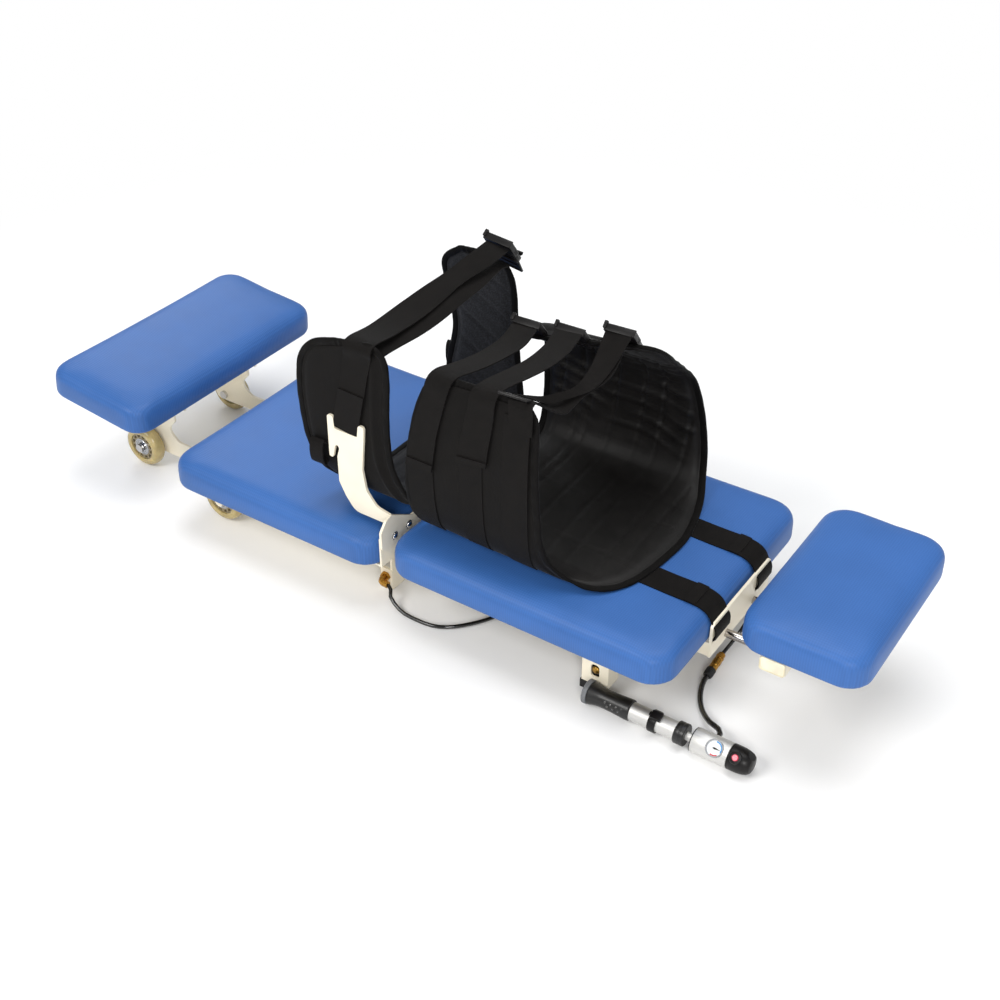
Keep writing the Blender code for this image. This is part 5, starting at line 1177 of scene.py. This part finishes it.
class TABLE_OT_pull_straps(bpy.types.Operator):
    """Add the two straps from under the belt to the crossbar's slots"""
    bl_idname = "table.pull_straps"
    bl_label = "Pull straps"

    def execute(self, context):
        for side, sign in SIDES.items():
            webbing(f"pull_strap_band_{side}", self.stations(PULL_ROUTE, sign, 22), PELVIS,
                    replaces=[f"pull_strap_{side}"])
            webbing(f"pull_strap_hem_{side}", self.stations(PULL_HEM, sign, 22.4), PELVIS, "hem", 0.0016)
        return {"FINISHED"}

    def stations(self, route, sign, half):
        """Stations as wide as twice the half, on one side of the belt."""
        return free_rows([((x, sign * 67 - half, z), (x, sign * 67 + half, z)) for x, z in route])


# Hard fittings

def dome(radius, height, steps=6, start=0.0):
    """Stations of a domed head on top of a disc at the start height."""
    angles = [math.pi / 2 * k / steps for k in range(steps)]
    return [(radius * math.cos(angle), height * math.sin(angle) + start) for angle in angles] + [
        (radius * 0.04, height + start)]


SCREW_RADIUS, SCREW_HEIGHT, SCREW_SOCKET = 0.0056, 0.0034, 0.0021
SCREW_Y = {"inner": 0.1344, "outer": 0.1690}
BOLT_RADIUS = 0.0062
ROD_STATIONS = [(0.00615, run) for run in (0.0, 0.05, 0.1, 0.1465)]


class TABLE_OT_fasteners(bpy.types.Operator):
    """Add the brackets' screws, the foot bolts and the leg tube's end caps"""
    bl_idname = "table.fasteners"
    bl_label = "Fasteners and caps"

    def execute(self, context):
        for side, sign in SIDES.items():
            for label, y in SCREW_Y.items():
                place = Vector((-0.0213, sign * y, 0.130))
                finish(self.screw(place), f"bracket_screw_{label}_{side}", "chrome", CHEST)
                washer = turned_ring([(0.0045, 0.0), (0.0068, 0.0), (0.0068, 0.0007), (0.0045, 0.0007)],
                                     place, FOOTWARD, 40)
                finish(washer, f"bracket_washer_{label}_{side}", "bearing", CHEST)
            bolt = turned([(0.0058, 0.0), (BOLT_RADIUS, 0.0004)] + dome(BOLT_RADIUS, 0.0030, start=0.0014),
                          (0.3295, sign * 0.1665, 0.0405), (0, sign, 0), 36)
            finish(bolt, f"foot_bolt_{side}", "zinc", PELVIS)
            finish(self.tube_cap(sign), f"leg_tube_cap_{side}", "cream_cap", LEGS)
            rod = turned(ROD_STATIONS, (0.410, sign * 0.0433, 0.087), FOOTWARD)
            finish(rod, f"leg_rod_skin_{side}", "rod", LEGS)
        return {"FINISHED"}

    def screw(self, place):
        """A button-head screw with a hexagon socket."""
        rim = [(SCREW_RADIUS * 0.9, -0.0002), (SCREW_RADIUS, 0.0002)]
        head = turned(rim + dome(SCREW_RADIUS, SCREW_HEIGHT, start=0.0004), place, FOOTWARD, 36)
        tool = turned([(SCREW_SOCKET, 0.0), (SCREW_SOCKET, SCREW_HEIGHT * 2)],
                      place + Vector(FOOTWARD) * SCREW_HEIGHT * 0.25, FOOTWARD, 6)
        cut_by(head, tool, 35)
        return head

    def tube_cap(self, sign):
        """Moulded cap in the leg tube's open end, its face set back in a rim."""
        low_y, high_y = sorted((sign * 0.1501, sign * 0.1533))
        cap = block((0.5605, low_y, 0.1530), (0.5965, high_y, 0.1744))
        choose(cap, lambda middle, way: abs(way.y) > 0.9, "EDGE")
        bpy.ops.mesh.bevel(offset=0.004, segments=4, profile=0.5)
        choose(cap, lambda middle, way: way.y * sign > 0.9)
        bpy.ops.mesh.inset(thickness=0.0026)
        bpy.ops.transform.translate(value=(0, -sign * 0.0010, 0))
        mode("OBJECT")
        bevel(cap, 0.0006, 2)
        return settle(cap, 35)


RAIL_FOOT_END, RAIL_WALL = 0.419, 0.002


class TABLE_OT_rails(bpy.types.Operator):
    """Add the two square base rails that the slide frame runs in"""
    bl_idname = "table.rails"
    bl_label = "Base rails"

    def execute(self, context):
        for side in SIDES:
            low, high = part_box(f"base_rail_{side}")
            rail = block(low, (RAIL_FOOT_END, high.y, high.z), 0.0022, 3)
            cut_by(rail, block((low.x - 0.01, low.y + RAIL_WALL, low.z + RAIL_WALL),
                               (RAIL_FOOT_END - 0.012, high.y - RAIL_WALL, high.z - RAIL_WALL), 0.0008))
            finish(rail, f"rail_tube_{side}", "steel", PELVIS, [f"base_rail_{side}"])
        return {"FINISHED"}


# (radius, height) pairs: half of the tyre's section, a bearing's face, and a thin dark ring of painted shade
# over a core's windows
TYRE_HALF = ((0.0243, 0.0108), (0.0262, 0.0119), (0.0292, 0.0120), (0.0322, 0.0114), (0.0346, 0.0100),
             (0.0364, 0.0076), (0.0375, 0.0046), (0.03795, 0.0016))
TYRE = [(radius, -height) for radius, height in TYRE_HALF] + list(reversed(TYRE_HALF))
BEARING = [(0.0046, 0.0), (0.0156, 0.0), (0.0156, 0.0010), (0.0150, 0.0013), (0.0140, 0.0013),
           (0.0136, 0.0009), (0.0128, 0.0009), (0.0124, 0.0013), (0.0108, 0.0013), (0.0104, 0.0005),
           (0.0086, 0.0005), (0.0082, 0.0012), (0.0046, 0.0012)]
WINDOW_SHADE_RING = [(0.0179, 0.0), (0.0223, 0.0), (0.0223, 0.0006), (0.0179, 0.0006)]


class TABLE_OT_wheels(bpy.types.Operator):
    """Add the four skate wheels' tyres, bearings and a dark ring of painted shade over each core's windows"""
    bl_idname = "table.wheels"
    bl_label = "Wheels"

    def execute(self, context):
        for name in WHEELS:
            low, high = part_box(f"{name}_tyre")
            middle = (Vector(low) + Vector(high)) / 2
            sign = 1 if middle.y > 0 else -1
            finish(turned_ring(TYRE, middle, (0, sign, 0), 96), f"{name}_tread", "tyre", name,
                   [f"{name}_tyre"])
            for face, way in (("outer", sign), ("inner", -sign)):
                bearing = turned_ring(BEARING, middle + Vector((0, way * 0.00905, 0)), (0, way, 0))
                finish(bearing, f"{name}_bearing_{face}", "bearing", name)
            # A thin dark ring on the core's face: painted shade standing in for the shadowed windows.
            window_shade_ring = turned_ring(WINDOW_SHADE_RING, middle - Vector((0, sign * 0.0003, 0)), (0, sign, 0))
            finish(window_shade_ring, f"{name}_pocket", "window", name)
        return {"FINISHED"}


def slotted_plate(low, high, slots, edge=0.0012):
    """A flat fitting with rectangular slots, given as (low, high) corners."""
    plate = block(low, high, edge, 3)
    for a, b in slots:
        cut_by(plate, block(a, b, 0.0006, 1))
    return plate


def side_release(name, width, body, replaces, place, turn, thick=0.0100):
    """Side-release buckle: ladder bar, body with side windows, plug and its loop."""
    half = width / 2
    frame_part = slotted_plate((-half, -0.003, -thick / 2), (half, 0.026, thick / 2), [
        ((-half + 0.0045, 0.0012, -0.02), (half - 0.0045, 0.0052, 0.02)),
        ((-half - 0.01, 0.0135, -thick * 0.22), (-half + 0.0042, 0.0235, thick * 0.22)),
        ((half - 0.0042, 0.0135, -thick * 0.22), (half + 0.01, 0.0235, thick * 0.22)),
    ])
    lip = block((-half + 0.006, 0.0075, thick / 2 - 0.0006), (half - 0.006, 0.0115, thick / 2 + 0.0007), 0.0005)
    rail = block((-half, -0.0042, -thick * 0.5), (half, -0.0012, thick / 2 + 0.0012), 0.0009, 3)
    prong = block((-half - 0.0022, -0.0058, -thick * 0.2), (-half + 0.0030, -0.0002, thick / 2 + 0.0040),
                  0.001, 3)
    arms = []
    for sign in (-1, 1):
        x = sign * (half - 0.004)
        arms.append(block((x - 0.0016, 0.012, -thick * 0.17),
                          (x + 0.0022 * sign + 0.0016, 0.034, thick * 0.17), 0.0008))
    plug = slotted_plate((-half + 0.0015, 0.0266, -thick * 0.46), (half - 0.0015, 0.043, thick * 0.46), [
        ((-half + 0.0085, 0.0345, -0.02), (half - 0.0085, 0.0385, 0.02))])
    made = stand(merge([frame_part, lip, rail, prong, *arms, plug]), place, turn, 35)
    finish(made, name, "plastic", body, replaces)


# x, z, lean and spin of the belt's three buckles, whose y is the same
BELT_CLASPS = {"head": (0.0845, 0.4325, -50, 2), "middle": (0.1565, 0.4435, -50, 2),
               "foot": (0.2350, 0.4665, -50, 4)}
CLASP_Y, CLASP_LOOP = 0.0215, 0.0365
TAB_HALF = 0.0185
CHEST_TAB_END = (((-47, 150, 462), (-7, 150, 462)), ((-46, 141, 471), (-7, 141, 471)))


class TABLE_OT_buckles(bpy.types.Operator):
    """Add the four side-release buckles, the tri-glides and the plugs' tabs"""
    bl_idname = "table.buckles"
    bl_label = "Buckles"

    def execute(self, context):
        for name, (x, z, lean, spin) in BELT_CLASPS.items():
            side_release(f"belt_clasp_{name}", 0.046, PELVIS, [f"belt_buckle_{name}"], (x, CLASP_Y, z),
                         (lean, 0, spin))
            self.tab(name, x, z, lean)
        side_release("chest_clasp", 0.049, CHEST, ["chest_buckle"], (-0.0260, 0.1130, 0.4935), (-52, 4, -3))
        wall = [[HARNESS_SHELL.over(HARNESS_SHELL.total - distance, x, TAB_LIFT, 1.0) for x in (-0.046, -0.008)]
                for distance in (0.060, 0.045, 0.030, 0.016)]
        webbing("chest_clasp_tab", wall + free_rows(CHEST_TAB_END), CHEST)
        self.tri_glide("belt_slide", PELVIS, (0.1925, -0.1705, 0.4465), (-33, 2, 6))
        self.tri_glide("chest_slide", CHEST, (-0.0170, 0.1290, 0.4560), (-58, 6, -4))
        return {"FINISHED"}

    def tab(self, name, x, z, lean):
        """Webbing from the plug's loop down to the belt's far wall."""
        end = Vector((x, CLASP_Y, z)) + Matrix.Rotation(math.radians(lean), 3, "X") @ Vector((0, CLASP_LOOP, 0))
        stations = [[end + Vector((side, 0, -0.0022)) for side in (-TAB_HALF, TAB_HALF)]]
        for distance in (0.045, 0.070, 0.100, 0.135):
            pair = [BELT_SHELL.over(BELT_SHELL.total - distance, x + side, TAB_LIFT)
                    for side in (-TAB_HALF, TAB_HALF)]
            if pair[0].y > end.y + 0.008:
                stations.append(pair)
        webbing(f"belt_tab_{name}", stations, PELVIS)

    def tri_glide(self, name, body, place, turn):
        """Three-bar slide."""
        slots = [((-0.0185, low, -0.01), (0.0185, low + 0.0060, 0.01)) for low in (-0.0092, 0.0032)]
        made = slotted_plate((-0.0215, -0.0125, -0.0020), (0.0215, 0.0125, 0.0020), slots)
        finish(stand(made, place, turn, 35), name, "plastic", body)


# Pump

PUMP_Y, PUMP_Z = -0.190, 0.0185
# (radius, x) stations of the pump's turned pieces
BARREL = [(0.0100, 0.4021), (0.0131, 0.4021), (0.0133, 0.4023), (0.0133, 0.4300), (0.0133, 0.4455),
          (0.0133, 0.4718), (0.0125, 0.4721)]
COLLAR = [(0.0140, 0.4722), (0.0155, 0.4724), (0.0162, 0.4734), (0.0162, 0.4792), (0.0156, 0.4800),
          (0.0156, 0.4812), (0.0162, 0.4820), (0.0162, 0.4862), (0.0152, 0.4873), (0.0078, 0.4874)]
END_RING = [(0.0120, 0.3286), (0.0172, 0.3286), (0.0182, 0.3294), (0.0182, 0.3352), (0.0174, 0.3359),
            (0.0120, 0.3360)]
GRIP = [(0.0150, 0.3363), (0.0166, 0.3364), (0.0171, 0.3372), (0.0168, 0.3392), (0.0157, 0.3430),
        (0.0147, 0.3475), (0.0140, 0.3540), (0.0138, 0.3620), (0.0140, 0.3720), (0.0146, 0.3830),
        (0.0152, 0.3920), (0.0155, 0.3985), (0.0153, 0.4008), (0.0144, 0.4017), (0.0136, 0.4018)]
NECK = [(0.0056, 0.4126), (0.0062, 0.4132), (0.0062, 0.4976), (0.0092, 0.4982)]
HEAD = [(0.0140, 0.4996), (0.0178, 0.4998), (0.0182, 0.5004), (0.0182, 0.5200), (0.0182, 0.5400),
        (0.0182, 0.5533), (0.0178, 0.5535)]
EDGE_RING = [(0.0096, 0.4981), (0.0168, 0.4981), (0.0176, 0.4986), (0.0176, 0.4996), (0.0170, 0.4998)]
CAP = [(0.0170, 0.5538), (0.0182, 0.5540), (0.0184, 0.5548), (0.0184, 0.5640), (0.0181, 0.5700),
       (0.0172, 0.5760), (0.0154, 0.5815), (0.0126, 0.5852), (0.0085, 0.5868)]
# (radius, height) stations of its clip's band, its button's collar and its dial's bezel
CLIP_BAND = [(0.01335, 0.0), (0.0152, 0.0), (0.0158, 0.0008), (0.0158, 0.0108), (0.0152, 0.0115),
             (0.01335, 0.0115)]
BUTTON_COLLAR = [(0.0051, -0.0020), (0.0092, -0.0030), (0.0090, 0.0004), (0.0082, 0.0015), (0.0074, 0.0014),
                 (0.0066, 0.0004), (0.0051, 0.0002)]
BEZEL = [(0.0110, -0.0018), (0.0125, -0.0018), (0.0125, 0.0022), (0.0120, 0.0027), (0.0114, 0.0027),
         (0.0110, 0.0021)]
CLIP_LOW, CLIP_HIGH = 0.4325, 0.4440
DIAL_X, BUTTON_X = 0.5337, 0.5647
NOTCHES, NOTCH_X, NOTCH_REACH = 20, 0.3276, 0.0187
BORE_RADIUS, WELL_RADIUS = 0.00655, 0.00505
INK = 0.00012


def on_pump(x, lift=0.0):
    """The point on the pump's axis at this x, or this far above it on the dial's side."""
    return Vector((x, PUMP_Y, PUMP_Z)) + FACE_NORMAL * lift


def along_pump(stations, sides=64):
    """Turns (radius, x) stations about the pump's axis."""
    first = stations[0][1]
    return turned([(radius, x - first) for radius, x in stations], on_pump(first), FOOTWARD, sides)


def bore(made, radius, depth, place, direction=FOOTWARD, sides=48, smooth_angle=35):
    """Opens a round hole in a piece."""
    cut_by(made, turned([(radius, 0.0), (radius, depth)], place, direction, sides), smooth_angle)


class TABLE_OT_pump(bpy.types.Operator):
    """Add the hand pump: ring, grip, barrel, clip, collar, head, cap and dial"""
    bl_idname = "table.pump"
    bl_label = "Hand pump"

    def execute(self, context):
        self.ring()
        self.grip()
        self.sliding("barrel_tube", BARREL, 0.4046, "aluminium", "silver_aluminium", "pump_barrel")
        self.clip()
        self.sliding("barrel_end", COLLAR, 0.4690, "grip", "black_rubber", "barrel_collar")
        self.head()
        self.cap()
        self.dial()
        return {"FINISHED"}

    def sliding(self, name, stations, start_x, finish_name, slot, replaces):
        """A turned piece of the handle, open along its axis for the piston rod."""
        made = along_pump(stations)
        bore(made, BORE_RADIUS, 0.09, on_pump(start_x))
        finish(made, name, finish_name, HANDLE, [replaces])

    def ring(self):
        """Grey end ring with a notched rim."""
        ring = along_pump(END_RING, 80)
        for k in range(NOTCHES):
            around = radial(360 * k / NOTCHES) * NOTCH_REACH
            bore(ring, 0.0012, 0.0036, on_pump(NOTCH_X) + Vector((0, around.x, around.y)), sides=12,
                 smooth_angle=None)
        finish(smooth(ring, 35), "ring_knurled", "grey", HANDLE, ["grip_ring"])

    def grip(self):
        """Soft grip that flares to the ring, with eight raised studs."""
        grip = along_pump(GRIP, 72)
        studs = []
        for row, angle in enumerate((-62, -84)):
            turn = math.radians(angle)
            out = Vector((0, math.sin(turn), math.cos(turn)))
            for k in range(4):
                place = on_pump(0.3650 + k * 0.0088 + row * 0.0044) + out * 0.0142
                studs.append(turned([(0.0020, -0.0012)] + dome(0.0019, 0.0011, 4), place, out, 16))
        finish(grip, "grip_sleeve", "grip", HANDLE, ["pump_grip"])
        finish(merge(studs), "grip_studs", "stud", HANDLE)

    def clip(self):
        """Band round the barrel with a raised catch on one side."""
        band = turned_ring(CLIP_BAND, on_pump(CLIP_LOW), FOOTWARD)
        catch = block((CLIP_LOW + 0.0010, -0.0075, 0.0135), (CLIP_HIGH + 0.0055, 0.0065, 0.0185), 0.0012, 3)
        tooth = block((CLIP_LOW - 0.0016, -0.0035, 0.0140), (CLIP_LOW + 0.0030, 0.0030, 0.0172), 0.0009, 3)
        made = merge([band, *(stand(part, on_pump(0), (14, 0, 0), 35) for part in (catch, tooth))])
        finish(made, "clip_band", "plastic", HANDLE, ["pump_clip"])

    def head(self):
        """Fixed head with its piston rod, the dial's seat and a dark edge ring."""
        neck, body = along_pump(NECK), along_pump(HEAD, 80)
        bore(body, 0.0128, 0.02, on_pump(DIAL_X, 0.0146), FACE_NORMAL, 64)
        finish(merge([body, neck]), "head_shell", "aluminium", PELVIS, ["pump_head"])
        finish(along_pump(EDGE_RING), "head_edge_ring", "plastic", PELVIS)

    def cap(self):
        """Moulded cap that tapers to a slanted end, with the button's raised ring."""
        cap = along_pump(CAP, 72)
        pick(cap)
        edit_all()
        bpy.ops.mesh.bisect(plane_co=(0.5790, PUMP_Y, PUMP_Z + 0.0155), plane_no=(0.62, 0.25, 0.78),
                            use_fill=True, clear_outer=True)
        mode("OBJECT")
        bevel(cap, 0.0016, 3, 24)
        place = on_pump(BUTTON_X, 0.0181)
        bore(cap, WELL_RADIUS, 0.01, place - FACE_NORMAL * 0.0042, FACE_NORMAL, 40, 32)
        made = merge([cap, turned_ring(BUTTON_COLLAR, place, FACE_NORMAL, 48)])
        finish(made, "head_end", "plastic", PELVIS, ["pump_head_cap"])

    def dial(self):
        """Plain pressure dial: bezel, white card, a blue and a red arc, ticks."""
        place = on_pump(DIAL_X, 0.0166)
        finish(turned_ring(BEZEL, place, FACE_NORMAL, 72), "dial_bezel", "lens", PELVIS)
        marks = []
        for k in range(11):
            mark = block((0.0066, -0.0002, 0.0), (0.0080, 0.0002, INK))
            turn = toward(FACE_NORMAL) @ Quaternion((0, 0, 1), math.radians(-30 + k * 24))
            marks.append(stand(mark, place - FACE_NORMAL * 0.0010, turn, 30))
        finish(merge(marks), "dial_marks", "grip", PELVIS)
        card = turned([(0.0111, -0.0019), (0.0111, -0.0010)], place, FACE_NORMAL, 72)
        finish(card, "dial_card", "dial", PELVIS, ["gauge_dial"])
        for name, finish_name, low, high in (("dial_arc_low", "dial_blue", -20, 95),
                                             ("dial_arc_high", "dial_red", 250, 310)):
            arc = self.sector(0.0086, 0.0104, low, high)
            stand(arc, place - FACE_NORMAL * 0.00095, toward(FACE_NORMAL), 30)
            finish(arc, name, finish_name, PELVIS)

    def sector(self, inner, outer, low, high):
        """A thin raised part of a ring between two angles."""
        ring = turned_ring([(inner, 0.0), (outer, 0.0), (outer, INK), (inner, INK)], (0, 0, 0), (0, 0, 1), 72)
        span = (high - low) % 360
        choose(ring, lambda middle, way: (math.degrees(math.atan2(middle.y, middle.x)) - low) % 360 > span)
        bpy.ops.mesh.delete(type="FACE")
        bpy.ops.mesh.select_all(action="SELECT")
        bpy.ops.mesh.fill_holes(sides=0)
        mode("OBJECT")
        return ring


# Finishes of the CAD pieces that stay

SLOT_LOOKS = {"blue_vinyl": "vinyl", "plywood": "plywood", "cream_steel": "steel", "amber_tyre": "tyre",
              "dark_core": "core", "chrome": "chrome", "silver_aluminium": "aluminium",
              "black_rubber": "rubber", "grey_plastic": "grey", "black_plastic": "plastic",
              "dial_white": "dial", "red_plastic": "button", "brass": "brass", "black_fabric": "cloth"}


class TABLE_OT_finishes(bpy.types.Operator):
    """Give every shown CAD piece the finish of its material slot"""
    bl_idname = "table.finishes"
    bl_label = "Finishes"

    def execute(self, context):
        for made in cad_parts.values():
            for place in made.material_slots:
                slot = place.material.name.split(".")[0]
                if slot in SLOT_LOOKS:
                    place.material = look(SLOT_LOOKS[slot])
        return {"FINISHED"}


OPERATORS = (TABLE_OT_stage, TABLE_OT_finishes, TABLE_OT_air_line, TABLE_OT_pads, TABLE_OT_belt,
             TABLE_OT_harness, TABLE_OT_belt_straps, TABLE_OT_chest_straps, TABLE_OT_pull_straps,
             TABLE_OT_fasteners, TABLE_OT_rails, TABLE_OT_wheels, TABLE_OT_buckles, TABLE_OT_pump)


class TABLE_PT_pieces(bpy.types.Panel):
    """The table's pieces, colours and sizes"""
    bl_idname = "TABLE_PT_pieces"
    bl_label = "Traction table"
    bl_space_type = "VIEW_3D"
    bl_region_type = "UI"
    bl_category = "Table"

    def draw(self, context):
        for made in OPERATORS:
            self.layout.operator(made.bl_idname)
        for group in (colours(), sizes()):
            for name in group.__annotations__:
                self.layout.prop(group, name)


CLASSES = (TableColours, TableSizes, *OPERATORS, TABLE_PT_pieces)


def register():
    for made in CLASSES:
        bpy.utils.register_class(made)
    bpy.types.Scene.table_colours = bpy.props.PointerProperty(type=TableColours)
    bpy.types.Scene.table_sizes = bpy.props.PointerProperty(type=TableSizes)


def unregister():
    del bpy.types.Scene.table_sizes
    del bpy.types.Scene.table_colours
    for made in reversed(CLASSES):
        bpy.utils.unregister_class(made)


def main():
    deselect()
    register()
    for made in OPERATORS:
        getattr(bpy.ops.table, made.bl_idname.split(".")[1])()


if __name__ == "__main__":
    main()
